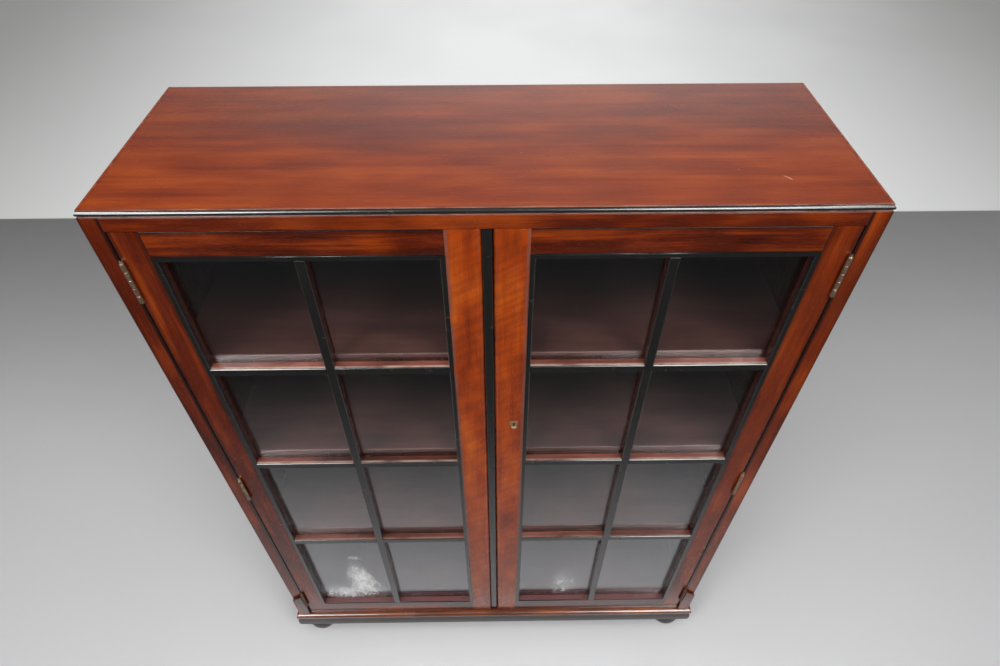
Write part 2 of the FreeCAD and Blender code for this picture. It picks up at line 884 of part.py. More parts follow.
def save_pair(name, right):
    """Write a left and a right node from the pieces of the right one."""
    save("right_" + name, *right)
    save("left_" + name, *[mirrored(piece) for piece in right])


def both_sides(pieces):
    """The pieces with their mirror images."""
    return list(pieces) + [mirrored(piece) for piece in pieces]


os.makedirs("parts", exist_ok=True)

save("top_board", top_board())
save_pair("side", [side()])
save_pair("front_stile", [front_stile()])
save("base_blocks", *both_sides([base_block()]))
save("top_rail", block(
    (-stile_inner_x, stile_inner_x), (front_y, behind(frame_depth)), (top_rail_bottom, carcase_top)))
save("bottom_rail", block(
    (-stile_inner_x, stile_inner_x), (front_y, behind(frame_depth)),
    (carcase_bottom, carcase_bottom + bottom_rail_height)))
save("bottom_board", bottom_board())
save("door_stop", door_stop())
save("back_panel", block(
    shrunk((-side_inner_x, side_inner_x), -back_rebate_width),
    (back_y - back_thickness, back_y),
    (carcase_bottom, carcase_top)))
for name, pieces in (
    ("edge_band", top_edge_band()),
    ("plinth_nosing", plinth_nosing()),
    ("plinth_board", plinth_boards()),
):
    for place, piece in zip(("front", "left", "right"), pieces):
        save(name + "_" + place, piece)
save("plinth_back_rail", plinth_back_rail())
save("plinth_corner_blocks", *both_sides(corner_blocks()))
for place, foot_y in zip(("front", "back"), foot_ys):
    save(place + "_feet", *both_sides([foot(foot_y)]))

for level, board in zip(("upper", "middle", "lower"), shelf_boards()):
    save("shelf_" + level, softened(board, shelf_nose_radius, Y=shelf_y[0], Z=board.BoundBox.ZMax))

save("hinge_frame_leaves", *both_sides(frame_leaves()))
save("bolt_keepers", *[
    keeper_plate(z, up).cut(keeper_hole(z, up)) for z, up in ((stop_bottom, 1), (bottom_board_top, -1))])

save("left_door_meeting_stile", mirrored(meeting_stile()))
save("right_door_meeting_stile", meeting_stile().cut(
    [lock_space(), lock_channel(), keyhole((front_y - overcut, lock_case_y[0])), escutcheon_blank()]))
save_pair("door_hinge_stile", [hinge_stile()])
save_pair("door_top_rail", [rail((sight_z[1], door_top), shoulder_spans_z[1], tenon_spans_z[1])])
save_pair("door_bottom_rail", [rail((door_bottom, sight_z[0]), shoulder_spans_z[0], tenon_spans_z[0])])
save_pair("door_upright_bar", [upright_bar()])
save_pair("door_cross_bars", cross_bars())
save_pair("door_opening_moulding", opening_moulding())
save_pair("door_bar_facings", bar_facings())
save_pair("door_panes", panes())
save_pair("door_glazing_beads", glazing_beads())
save_pair("door_hinge_leaves", door_leaves())

save("lock_case", lock_case())
save("lock_bolt", lock_bolt())
save("escutcheon", escutcheon_blank().cut(keyhole((front_y - overcut, behind(escutcheon_let_in)))))
save("meeting_strip", meeting_strip())
save("strike_plate", strike_plate().cut(strike_hole()))
save("bolt_cases", *[bolt_case(z, up) for z, up in bolt_ends])
save("upper_bolt", bolt(upper_bolt_end, 1))
save("lower_bolt", bolt(lower_bolt_end, -1))
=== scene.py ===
import math

import bmesh
import bpy
from mathutils import Matrix, Vector


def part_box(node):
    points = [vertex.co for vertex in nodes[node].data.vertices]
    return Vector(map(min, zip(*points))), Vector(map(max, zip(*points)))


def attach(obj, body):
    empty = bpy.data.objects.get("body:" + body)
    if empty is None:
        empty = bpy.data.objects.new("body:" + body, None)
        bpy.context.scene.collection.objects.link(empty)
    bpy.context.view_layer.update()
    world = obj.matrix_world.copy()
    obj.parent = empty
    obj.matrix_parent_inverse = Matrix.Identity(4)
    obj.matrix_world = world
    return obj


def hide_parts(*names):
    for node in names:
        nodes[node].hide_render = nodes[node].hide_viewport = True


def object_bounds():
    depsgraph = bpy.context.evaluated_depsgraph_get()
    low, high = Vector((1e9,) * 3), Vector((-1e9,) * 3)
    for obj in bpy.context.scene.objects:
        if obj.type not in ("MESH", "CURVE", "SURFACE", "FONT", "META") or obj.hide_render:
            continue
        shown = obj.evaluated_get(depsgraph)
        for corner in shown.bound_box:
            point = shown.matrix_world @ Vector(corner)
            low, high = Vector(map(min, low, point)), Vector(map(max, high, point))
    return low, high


# The finish of a mahogany bookcase with two glazed doors: woods, ebonising, brass, glass and
# small hardware. Metres, +Z up, the doors face -Y, the floor is at zero.

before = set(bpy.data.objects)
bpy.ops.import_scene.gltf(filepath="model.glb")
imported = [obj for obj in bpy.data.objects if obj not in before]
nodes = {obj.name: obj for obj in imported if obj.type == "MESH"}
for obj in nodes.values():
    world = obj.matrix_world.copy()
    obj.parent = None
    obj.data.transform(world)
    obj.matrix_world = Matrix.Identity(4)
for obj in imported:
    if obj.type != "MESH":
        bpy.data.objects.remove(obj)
cad_low, cad_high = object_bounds()

# ---- Viewpoint
CAMERA_PLACE = (0.0079, -0.8133, 1.8045)
CAMERA_DOWN = 45.796          # degrees below the horizon
CAMERA_RIGHT = 0.677          # degrees to the right of straight at the back
CAMERA_ROLL = -0.086
CAMERA_LENS = 23.24           # millimetres, on a 36 mm wide sensor
SENSOR_WIDTH = 36.0

# ---- Room
FLOOR_SIZE = 40.0
WALL_DISTANCE = 1.725         # where the grey of the floor turns to the pale ground behind
WALL_BLEND = 0.006
FLAG_HEIGHT = 0.003
FLAG_START = 0.12             # the dark flag on the floor in front fades in from here
FLAG_FULL = -1.05             # and is full from here on
ROOM_LIGHT = 0.06
CEILING_LIGHT = 0.22
WALL_LIGHT = 0.85
WALL_DIRECTION = (0.08, 0.98, 0.20)

# ---- Joinery
FACET_WELD = 0.000002         # corners of facets this close are one
FINE_WELD = 0.000001          # and so are those of the pieces made here
ARRIS = 0.0005                # sharp arrises are eased by this
FINE_ARRIS = 0.0002
ARRIS_ANGLE = 38              # in degrees, where an edge counts as sharp
INNER_SHADE = 0.93            # share of painted shade at the back of the inside
RIPPLE_SLANT = 32             # degrees
BAND_EDGE = 0.0018            # the edge band shows this much black on the top
BAND_BLEND = 0.0005
BAND_HOLLOW = 0.0025          # its hollows lie within this of its top and foot
BAND_FOOT = (0.0008, 0.0016)  # its foot is painted pale up to here, as wear and highlight
BAND_FACE = (0.0008, 0.0004)  # its upper face starts this far below the top
BAND_ARRIS_WEAR_AND_HIGHLIGHT = (0.0010, 0.0015)  # the wood let in over it is painted pale this far back, as wear and highlight on its arris
SCRATCH_CENTRE = (0.373, -0.110)
SCRATCH_RADIUS = 0.018        # a curved scratch on the top
SCRATCH_WIDTH = (0.0003, 0.0009)
SCRATCH_MIDDLE = (0.387, -0.098)
SCRATCH_REACH = 0.009
FRONT_SKIN = (0.0006, 0.0016) # what lies on the front alone ends over this depth
MOULDING_COVER = 0.0035       # a door board is ebonised from here on, under its moulding
BLACK_DEPTH = 0.0045          # and this deep into the side that it turns to the glass
GLASS_DEPTH = 0.014           # the rest of that side is stained and painted with shade down to the glass
STAIN_BLEND = 0.0003
EDGE_SHADE = 0.009            # boards are stained darker along their edges
EDGE_GAP_SHADE = 0.0022           # and painted black at the very edge, as shade in the gaps between boards
EDGE_WEAR_AND_HIGHLIGHT = (0.0033, 0.0055)     # the meeting stiles are painted paler this far in, as wear and highlight on their arrises
EDGE_WEAR_AND_HIGHLIGHT_SHARE = 0.7
WAXED_FOOT = (0.11, 0.28)     # up to here the lowest boards keep a thicker polish
WAX = 8                       # this many times the usual coat is added there

# ---- Hardware
KNUCKLES = 5
KNUCKLE_GAP = 0.0009
KNUCKLE_RIM = 0.0006
KNUCKLE_STAND_OFF = 0.0003    # the knuckles clear the wood behind them by this
PIN_CAP_RADIUS = 0.0021
PIN_CAP_HEIGHT = 0.0004
PIN_SIDES = 32
RISER_LAP = 0.001             # the web of a knuckle runs this far into its leaf
ROLL_SHARE = 0.82             # the rolled knuckles are slimmer than the room they have
SCREW_SIDES = 28
SCREW_RADIUS = 0.0032
SCREW_STAND = 0.0002          # screw heads stand out by this
SCREW_HEIGHT = 0.0010
SCREW_FACE = 0.90             # its top and its point, as shares of the radius
SCREW_POINT = 0.5
SCREW_SEED = 7
SLOT_WIDTH = 0.11             # half the width of a screw's slot, as a share of its radius
SLOT_DEPTH = 0.6              # as a share of its height
HINGE_SCREW_PITCH = 0.024
HINGE_SCREW_STAGGER = 0.002   # the outer two lie this much further back
BOLT_SCREW_SPREAD = 0.0095
PLATE_SCREW_INSET = 0.006
LOCK_PLATE_MIDDLE = 0.006     # of the lock's edge plate, in from the back of the door
BOLT_PLATE_THICKNESS = 0.0015
ESCUTCHEON_TOP = 0.0140       # width at the top
ESCUTCHEON_FOOT = 0.0095      # and at the foot
ESCUTCHEON_HEIGHT = 0.0200
SHOULDER = 0.2                # its sides go straight down to this share of half its height
KEYHOLE_RADIUS = 0.0022
KEYHOLE_RISE = 0.25           # of its round part, as a share of half the shield's height
KEYHOLE_SLOT = 0.0018
KEYHOLE_DROP = 0.0040
KEYHOLE_START = 0.33          # half turns from level to where its round part meets the slot
ARC_STEPS = 16
BRAD_SIDES = 12
BRAD_RADIUS = 0.0016
BRAD_FLATNESS = 0.03          # their heads are driven in level with the wood
BRAD_SPACING = 0.110
BRAD_INSET = 0.005
PANE_WAVE = 0.00003           # old glass leaves its plane by this much
PANE_WAVES = 13.0             # to the metre across, and fewer up and down
PANE_STRETCH = (1.0, 0.0, 0.6)
PANE_DIVISIONS = 4

# ---- Patches: centre, half size and strength of each
SMOKY_PATCHES = (             # on the top
    ((-0.30, 0.02), (0.34, 0.12), 0.22),
    ((0.33, 0.06), (0.26, 0.13), 0.16),
)
SMEARS = (                    # on the lowest panes
    ((-0.322, -0.147, 0.290), (0.052, 0.05, 0.115), 0.95),
    ((-0.372, -0.147, 0.195), (0.110, 0.05, 0.085), 0.85),
    ((-0.290, -0.147, 0.215), (0.060, 0.05, 0.120), 0.50),
    ((-0.318, -0.147, 0.385), (0.030, 0.05, 0.018), 0.65),
    ((0.170, -0.147, 0.230), (0.065, 0.05, 0.150), 0.64),
)

left_meeting_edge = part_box("meeting_strip")[0].x
opening_low, opening_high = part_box("right_door_opening_moulding")
front_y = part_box("right_door_top_rail")[0].y
stile_inner_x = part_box("right_front_stile")[0].x
door_outer_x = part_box("right_door_hinge_stile")[1].x
cad_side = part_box("right_front_stile")[1].x


# ---- Node trees

class Value:
    """A socket of a node tree, so that sums on it add their own nodes."""

    def __init__(self, graph, socket):
        self.graph = graph
        self.socket = socket

    def maths(self, operation, *others):
        sockets = dict(enumerate((self,) + others))
        return self.graph.node("ShaderNodeMath", {"operation": operation}, sockets)

    def __add__(self, other):
        return self.maths("ADD", other)

    __radd__ = __add__

    def __sub__(self, other):
        return self.maths("SUBTRACT", other)

    def __rsub__(self, other):
        return self.graph.node("ShaderNodeMath", {"operation": "SUBTRACT"}, {0: other, 1: self})

    def __mul__(self, other):
        return self.maths("MULTIPLY", other)

    __rmul__ = __mul__

    def __truediv__(self, other):
        return self.maths("DIVIDE", other)

    def __rtruediv__(self, other):
        return self.graph.node("ShaderNodeMath", {"operation": "DIVIDE"}, {0: other, 1: self})

    def __pow__(self, other):
        return self.maths("POWER", other)

    def __neg__(self):
        return self.maths("MULTIPLY", -1.0)

    def __abs__(self):
        return self.maths("ABSOLUTE")

    def rise(self, low, high):
        """0 below low, 1 above high and a smooth rise between them."""
        sockets = {"Value": self, "From Min": low, "From Max": high}
        return self.graph.node("ShaderNodeMapRange", {"interpolation_type": "SMOOTHSTEP"}, sockets)


class Graph:
    """A node tree in the making."""

    def __init__(self, tree):
        self.tree = tree

    def node(self, kind, settings=None, sockets=None, output=0):
        """Add a node: its settings first, then the values or links of its sockets."""
        made = self.tree.nodes.new(kind)
        for name, value in (settings or {}).items():
            if name == "stops":
                set_stops(made.color_ramp, value)
            else:
                setattr(made, name, value)
        for key, value in (sockets or {}).items():
            for one in value if isinstance(value, list) else [value]:
                if isinstance(one, Value):
                    self.tree.links.new(one.socket, made.inputs[key])
                else:
                    made.inputs[key].default_value = one
        return Value(self, made.outputs[output])

    def axis(self, place, name):
        return self.node("ShaderNodeSeparateXYZ", None, {0: place}, name)

    def vector(self, x, y, z):
        return self.node("ShaderNodeCombineXYZ", None, {0: x, 1: y, 2: z})

    def vector_maths(self, operation, *values, output=0):
        settings = {"operation": operation}
        return self.node("ShaderNodeVectorMath", settings, dict(enumerate(values)), output)


def set_stops(ramp, stops):
    """Give a colour ramp its (place, colour) stops."""
    while len(ramp.elements) < len(stops):
        ramp.elements.new(1.0)
    for element, (place, colour) in zip(ramp.elements, stops):
        element.position = place
        element.color = (*colour, 1.0)


class Finish(Graph):
    """A surface finish: one Principled shader and the nodes that feed it."""

    def __init__(self, name, settings=None):
        self.material = bpy.data.materials.new(name)
        self.material.use_nodes = True
        super().__init__(self.material.node_tree)
        self.shader = next(n for n in self.tree.nodes if n.type == "BSDF_PRINCIPLED")
        self.place = self.node("ShaderNodeTexCoord", output="Object")
        for key, value in (settings or {}).items():
            self.shader.inputs[key].default_value = value

    def feed(self, **sockets):
        """Link values to the shader's sockets, with underscores for the spaces in their names."""
        for name, value in sockets.items():
            self.tree.links.new(value.socket, self.shader.inputs[name.replace("_", " ")])

    def at(self, name):
        """The place on the object along one axis."""
        return self.axis(self.place, name)

    def shifted(self, shift):
        """The place on the object, moved so that each board shows other wood."""
        return self.vector_maths("ADD", self.place, shift)

    def noise(self, place, rates, detail=2.0, roughness=0.5, output="Fac"):
        """Noise with one rate per metre, or its own one along each axis."""
        point = self.vector_maths("MULTIPLY", place, rates if isinstance(rates, tuple) else (rates,) * 3)
        sockets = {"Vector": point, "Scale": 1.0, "Detail": detail, "Roughness": roughness}
        return self.node("ShaderNodeTexNoise", None, sockets, output)

    def swayed(self, place, rates, amount):
        """The place, pushed about by slow noise, so that lines drawn on it wander."""
        push = self.noise(place, rates, 1.0, output="Color")
        centred = self.vector_maths("SUBTRACT", push, (0.5, 0.5, 0.5))
        return self.vector_maths("MULTIPLY_ADD", centred, amount, place)

    def specks(self, place, rate, size, share):
        """Small round specks, rate cells to the metre, in this share of the cells."""
        sockets = {"Vector": place, "Scale": rate}
        distance = self.node("ShaderNodeTexVoronoi", None, sockets, "Distance")
        cell = self.node("ShaderNodeTexVoronoi", None, sockets, "Color")
        chosen = self.node("ShaderNodeSeparateColor", None, {0: cell}, 0)
        near = 1 - distance.rise(size * rate * 0.5, size * rate)
        return near * chosen.maths("GREATER_THAN", 1 - share)

    def patch(self, centre, size):
        """1 in the middle of an ellipsoid and 0 at its surface."""
        away = self.vector_maths("SUBTRACT", self.place, centre)
        scaled = self.vector_maths("DIVIDE", away, size)
        return 1 - self.vector_maths("LENGTH", scaled, output="Value").rise(0.0, 1.0)

    def ramp(self, value, *stops):
        return self.node("ShaderNodeValToRGB", {"stops": stops}, {0: value})

    def mix(self, mask, under, over):
        """Lay one colour over another where the mask is white."""
        under, over = ((*c, 1.0) if isinstance(c, tuple) else c for c in (under, over))
        return self.node("ShaderNodeMix", {"data_type": "RGBA"}, {0: mask, 6: under, 7: over}, 2)

    def bump(self, height, depth, under=None):
        """A relief of this depth in metres, over another one."""
        sockets = {"Height": height, "Distance": depth}
        if under:
            sockets["Normal"] = under
        return self.node("ShaderNodeBump", None, sockets)

    def recolour(self, mask, colour):
        """Lay a colour over what is there so far."""
        self.colour = self.mix(mask, self.colour, colour)
        self.feed(Base_Color=self.colour)


# ---- Woods

BLACK = (0.008, 0.0075, 0.007)
MAHOGANY = ((0.085, 0.010, 0.002), (0.173, 0.024, 0.0025), (0.27, 0.049, 0.004))
ROSEWOOD = ((0.018, 0.003, 0.001), (0.092, 0.0092, 0.0006), (0.25, 0.036, 0.001))
AMBER = ((0.034, 0.005, 0.001), (0.150, 0.0180, 0.0008), (0.32, 0.052, 0.0015))
NOSING = ((0.060, 0.012, 0.002), (0.150, 0.034, 0.005), (0.28, 0.075, 0.010))
GOLDEN = ((0.145, 0.016, 0.0013), (0.315, 0.043, 0.002), (0.48, 0.094, 0.004))
INNER = ((0.050, 0.020, 0.016), (0.100, 0.040, 0.032), (0.155, 0.067, 0.053))
DARK_INNER = ((0.018, 0.006, 0.005), (0.030, 0.009, 0.007), (0.050, 0.015, 0.011))
BAR_WOOD = ((0.035, 0.010, 0.007), (0.11, 0.030, 0.019), (0.22, 0.072, 0.048))
PLAIN = ((0.13, 0.055, 0.025), (0.23, 0.11, 0.052), (0.33, 0.17, 0.085))
# for wear and a painted highlight along the meeting stiles' arrises
WORN_AND_HIGHLIT_WOOD = (0.16, 0.066, 0.048)
SMOKE = (0.070, 0.016, 0.011)
SPECK = (0.46, 0.30, 0.24)
SCRATCH = (0.55, 0.32, 0.24)
RIPPLE = (0.10, 0.014, 0.004)
# painted shade towards the foot of the meeting stiles
GOLDEN_FOOT_SHADE = (0.11, 0.017, 0.006)
# painted shade on the lower cross bars
BAR_FOOT_SHADE = (0.050, 0.016, 0.009)
SHADE = (0.010, 0.0085, 0.008)
# dust, with painted light on the higher bars
DUST_AND_PAINTED_LIGHT = (0.34, 0.24, 0.20)
DUSTY_BLACK = (0.105, 0.036, 0.034)
# stain and painted shade on the sides turned to the glass
SIDE_STAIN_AND_SHADE = (0.032, 0.008, 0.006)
# painted shade along the gap beside each door
DOOR_GAP_SHADE = (0.014, 0.004, 0.003)
# pale, for wear and a painted highlight on the band's foot and arris
WORN_AND_HIGHLIT_EDGE = (0.32, 0.19, 0.145)


def rates(along, lengthwise, crosswise):
    """Noise rates that draw a pattern out along one axis."""
    return tuple(lengthwise if axis == along else crosswise for axis in "XYZ")


def wood(name, along, colours, shift, spread=0.13, gloss=0.24, coat=0.08, streaky=0.16):
    """A polished board: slow figure, blotches, streaks, fibres and open pores along its grain."""
    finish = Finish(name, {"Coat Roughness": 0.10, "Specular IOR Level": 0.35})
    still = finish.shifted(shift)
    place = finish.swayed(still, rates(along, 1.5, 5.0), rates(along, 0.0, 0.030))
    figure = finish.noise(place, rates(along, 2.0, 34.0), 3.0, 0.6)
    blotch = finish.noise(still, rates(along, 8.0, 26.0), 2.0, 0.5)
    streaks = finish.noise(place, rates(along, 3.0, 150.0), 4.0, 0.65)
    fibres = finish.noise(place, rates(along, 16.0, 900.0), 2.0)
    pore = finish.noise(place, rates(along, 55.0, 2600.0), 1.0).rise(0.60, 0.72)
    tone = 0.30 * figure + (0.60 - streaky) * blotch + streaky * streaks + 0.10 * fibres
    dark, middle, light = colours
    colour = finish.ramp(tone, (0.5 - spread, dark), (0.5, middle), (0.5 + spread, light))
    finish.colour = finish.mix(pore * 0.35, colour, dark)
    handling = finish.noise(still, 9.0, 3.0)
    relief = finish.bump(1 - pore, 0.00002)
    relief = finish.bump(streaks, 0.000015, relief)
    finish.feed(
        Base_Color=finish.colour,
        Roughness=gloss + 0.22 * handling - 0.11 + 0.15 * pore,
        Coat_Weight=coat + WAX * coat * (1 - finish.at("Z").rise(*WAXED_FOOT)),
        Normal=relief,
    )
    finish.still = still
    finish.dark = dark
    return finish


def front_only(finish):
    """1 on the front face of the carcase and doors, 0 behind it."""
    near, far = (front_y + depth for depth in FRONT_SKIN)
    return 1 - finish.at("Y").rise(near, far)


def within(finish, axis, low, high, start, reach):
    """0 along the two edges of a board, and 1 further in than the reach."""
    across = finish.at(axis)
    return (across - low).rise(start, reach) * (high - across).rise(start, reach)


def shade_edges(finish, axis, low, high, strength=0.65, gap_shade=0.85):
    """Stain the front of a board darker along its two long edges, and paint black shade at the very edge,
    in the gap between boards.
    """
    # the second pass is painted shade: black along the very edge, where the gaps lie
    for reach, share, colour in ((EDGE_SHADE, strength, finish.dark), (EDGE_GAP_SHADE, gap_shade, SHADE)):
        inner = within(finish, axis, low, high, 0.0, reach)
        finish.recolour((1 - inner) * share * front_only(finish), colour)


def wear_and_highlight_edges(finish, axis, low, high):
    """Wear a board dull and brownish along its two long edges, unevenly; the paler colour is also a painted
    highlight on the arrises.
    """
    inner = within(finish, axis, low, high, *EDGE_WEAR_AND_HIGHLIGHT)
    patchy = finish.noise(finish.still, 25.0, 3.0).rise(0.20, 0.55)
    finish.recolour((1 - inner) * patchy * EDGE_WEAR_AND_HIGHLIGHT_SHARE * front_only(finish), WORN_AND_HIGHLIT_WOOD)


def blacken_side(finish, axis, edge, inward, colours=(SIDE_STAIN_AND_SHADE, BLACK)):
    """Stain the side that a door board turns to the glass, with painted shade of its recess, and ebonise
    the front part of it.
    """
    deep = finish.at("Y")
    start = edge * inward + MOULDING_COVER
    inside = (finish.at(axis) * inward).rise(start, start + STAIN_BLEND)
    for depth, colour in zip((GLASS_DEPTH, BLACK_DEPTH), colours):
        end = front_y + depth
        finish.recolour(inside * (1 - deep.rise(end, end + STAIN_BLEND)), colour)


def top_wood():
    """The top: bright red-brown near the front, smoky towards the back, with specks and faint scratches."""
    finish = wood("top mahogany", "X", MAHOGANY, (3.1, 0.4, 0.0), spread=0.17, gloss=0.25, streaky=0.24)
    back = finish.at("Y").rise(-0.12, 0.20)
    smoke = finish.noise(finish.still, (3.2, 9.0, 1.0), 5.0, 0.6) + 0.16 * back
    for centre, half_size, share in SMOKY_PATCHES:
        smoke = smoke + share * finish.patch((*centre, cad_high.z), (*half_size, 0.1))
    finish.recolour(smoke.rise(0.46, 0.86) * 0.62, SMOKE)
    finish.recolour(finish.specks(finish.place, 42.0, 0.0010, 0.24), SPECK)
    across, away = (finish.at(axis) - middle for axis, middle in zip("XY", SCRATCH_CENTRE))
    off_arc = abs((across ** 2 + away ** 2) ** 0.5 - SCRATCH_RADIUS)
    near = finish.patch((*SCRATCH_MIDDLE, cad_high.z), (SCRATCH_REACH, SCRATCH_REACH, 0.01))
    finish.recolour((1 - off_arc.rise(*SCRATCH_WIDTH)) * near.rise(0.0, 0.4) * 0.7, SCRATCH)
    finish.feed(Coat_Weight=0.5 * back)
    return finish


def meeting_wood(name, shift):
    """The meeting stiles: golden wood with a slanting ripple, painted darker towards the foot as shade."""
    finish = wood(name, "Z", GOLDEN, shift, spread=0.14, gloss=0.22, streaky=0.08)
    sockets = {"Vector": finish.still, "Rotation": (0.0, math.radians(RIPPLE_SLANT), 0.0)}
    slanted = finish.node("ShaderNodeMapping", None, sockets)
    ripple = finish.noise(slanted, (16.0, 4.0, 110.0), 3.0, 0.6).rise(0.35, 0.68)
    finish.recolour(ripple * 0.4, RIPPLE)
    # painted shade: darker towards the foot, where less light falls
    foot = 1 - finish.at("Z").rise(0.10, 0.80)
    finish.recolour(foot * 0.5, GOLDEN_FOOT_SHADE)
    return finish


def inner_wood(name, shift):
    """A shelf or inner board: satin, even, and painted darker as shade the further it lies from the glass.
    """
    finish = wood(name, "X", INNER, shift, spread=0.22, gloss=0.42, coat=0.0, streaky=0.12)
    depth = finish.at("Y").rise(-0.150, 0.070)
    finish.recolour(depth * INNER_SHADE, SHADE)
    return finish


def side_wood(name, shift):
    """A side: polished mahogany outside, painted dark inside as shade."""
    finish = wood(name, "Z", MAHOGANY, shift)
    inner_face = abs(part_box("right_side")[0].x)
    inside = 1 - abs(finish.at("X")).rise(inner_face + STAIN_BLEND, inner_face + 2 * STAIN_BLEND)
    finish.recolour(inside * INNER_SHADE, SHADE)
    return finish


def stile_wood(name, shift, outer, inner):
    """A front stile of the carcase, stained darker towards both edges, with painted shade along the gap by
    its door.
    """
    finish = wood(name, "Z", ROSEWOOD if outer < 0 else AMBER, shift, spread=0.16, streaky=0.22)
    shade_edges(finish, "X", *sorted((outer, inner)), strength=0.6)
    # painted shade: a ragged dark band along the gap by the door
    from_door = abs(finish.at("X") - inner)
    ragged = 0.003 * finish.noise(finish.still, (30.0, 30.0, 12.0), 3.0)
    finish.recolour((1 - (from_door + ragged).rise(0.0040, 0.0065)) * 0.85, DOOR_GAP_SHADE)
    return finish


def bar_wood(name, shift):
    """The cross bars behind their black facings: dull red-brown, painted darker low down as shade, with a
    pale front arris of dust and painted light that is paler higher up.
    """
    finish = wood(name, "X", BAR_WOOD, shift, spread=0.12, coat=0.1)
    front = 1 - finish.at("Y").rise(front_y + 0.002, front_y + 0.005)
    dusty = finish.noise(finish.still, 22.0, 3.0).rise(0.25, 0.60)
    high = finish.at("Z").rise(0.30, 1.05)
    # painted shade on the lower bars, and dust with painted light that grows with height
    finish.recolour((1 - high) * 0.45, BAR_FOOT_SHADE)
    finish.recolour(front * dusty * (0.15 + 0.7 * high), DUST_AND_PAINTED_LIGHT)
    return finish


# ---- Other finishes

RUBBED_BLACK = (0.045, 0.020, 0.014)
CHIPPED_BLACK = (0.34, 0.24, 0.19)
BLACK_FOOT = (0.040, 0.028, 0.023)
BLACK_HOLLOW = (0.085, 0.058, 0.052)
CLEAN_BRASS = (0.42, 0.30, 0.21)
DULL_BRASS = (0.12, 0.075, 0.050)
LOW_BRASS = (0.060, 0.030, 0.020)
SHIELD_BRASS = (0.36, 0.24, 0.12)
DULL_SHIELD = (0.13, 0.075, 0.035)
PALE_FOOT_BRASS = (0.75, 0.56, 0.46)
CLEAN_IRON = (0.20, 0.16, 0.13)
RUST = (0.075, 0.030, 0.015)
CLEAR_GLASS = (0.93, 0.95, 0.975)
HAZY_GLASS = (0.74, 0.74, 0.74)
GLASS_MIRROR = 0.04           # share of light that one face sends back, seen straight on


def ebonised(name="ebonised wood"):
    """Black stained wood under a hard polish, rubbed brown and chipped in places."""
    finish = Finish(name, {"Coat Roughness": 0.08, "IOR": 1.5})
    rubbed = finish.noise(finish.place, 60.0, 4.0, 0.7).rise(0.62, 0.75)
    chips = finish.specks(finish.place, 16.0, 0.0018, 0.10)
    colour = finish.mix(rubbed * 0.4, BLACK, RUBBED_BLACK)
    grain = finish.noise(finish.place, 420.0, 2.0)
    foot = 1 - finish.at("Z").rise(0.09, 0.11)
    finish.colour = finish.mix(chips, colour, CHIPPED_BLACK)
    finish.recolour(foot * 0.8, BLACK_FOOT)
    finish.feed(
        Roughness=0.24 + 0.2 * rubbed + 0.16 * foot,
        Coat_Weight=0.6 - 0.5 * foot,
        Normal=finish.bump(grain, 0.00003),
    )
    return finish


def band():
    """The edge band: ebonised, browner in its hollows, with the wood of the top let in over its face; its
    foot and that wood's front arris are painted pale as wear and highlight.
    """
    finish = ebonised("ebonised band")
    low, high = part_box("edge_band_front")
    up, back = finish.at("Z"), finish.at("Y")
    hollows = 1 - up.rise(low.z, low.z + BAND_HOLLOW) * (1 - up.rise(high.z - BAND_HOLLOW, high.z))
    finish.recolour(hollows * 0.8, BLACK_HOLLOW)
    patchy = finish.noise(finish.place, (30.0, 90.0, 90.0), 4.0, 0.7)
    foot = 1 - up.rise(*(low.z + height for height in BAND_FOOT))
    finish.recolour(foot * patchy.rise(0.25, 0.60), WORN_AND_HIGHLIT_EDGE)
    edge_x, edge_y = high.x - BAND_EDGE, low.y + BAND_EDGE
    between = 1 - abs(finish.at("X")).rise(edge_x - BAND_BLEND, edge_x)
    behind = back.rise(edge_y, edge_y + BAND_BLEND)
    wooden = between * behind * up.rise(*(high.z - depth for depth in BAND_FACE))
    figure = finish.noise(finish.place, (8.0, 60.0, 60.0), 3.0, 0.6)
    dark, middle, light = MAHOGANY
    finish.recolour(wooden, finish.ramp(figure, (0.3, dark), (0.5, middle), (0.7, light)))
    # wear and painted highlight: a pale line along the front arris of the let-in wood
    worn_and_lit = 1 - back.rise(*(edge_y + depth for depth in BAND_ARRIS_WEAR_AND_HIGHLIGHT))
    finish.recolour(wooden * worn_and_lit * patchy.rise(0.30, 0.65) * 0.8, WORN_AND_HIGHLIT_EDGE)
    finish.feed(Coat_Weight=0.15 + 0.6 * patchy)
    return finish


def brass():
    """Dull brass with brown tarnish and fine scratches."""
    finish = Finish("aged brass", {"Metallic": 1.0})
    tarnish = finish.noise(finish.place, 260.0, 4.0, 0.7).rise(0.40, 0.66)
    scratch = finish.noise(finish.place, (900.0, 900.0, 90.0), 2.0)
    finish.colour = finish.mix(tarnish, CLEAN_BRASS, DULL_BRASS)
    finish.feed(Roughness=0.32 + 0.25 * tarnish, Normal=finish.bump(scratch, 0.00003))
    finish.recolour((1 - finish.at("Z").rise(0.22, 0.34)) * 0.8, LOW_BRASS)
    return finish


def rubbed_brass():
    """The escutcheon: brown above and pale at its foot."""
    finish = Finish("rubbed brass", {"Metallic": 0.75})
    foot_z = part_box("escutcheon")[0].z
    tarnish = finish.noise(finish.place, 500.0, 3.0, 0.7).rise(0.40, 0.70)
    finish.colour = finish.mix(tarnish, SHIELD_BRASS, DULL_SHIELD)
    finish.feed(Roughness=0.42 + 0.2 * tarnish)
    finish.recolour(1 - finish.at("Z").rise(foot_z - 0.0005, foot_z + 0.0025), PALE_FOOT_BRASS)
    return finish


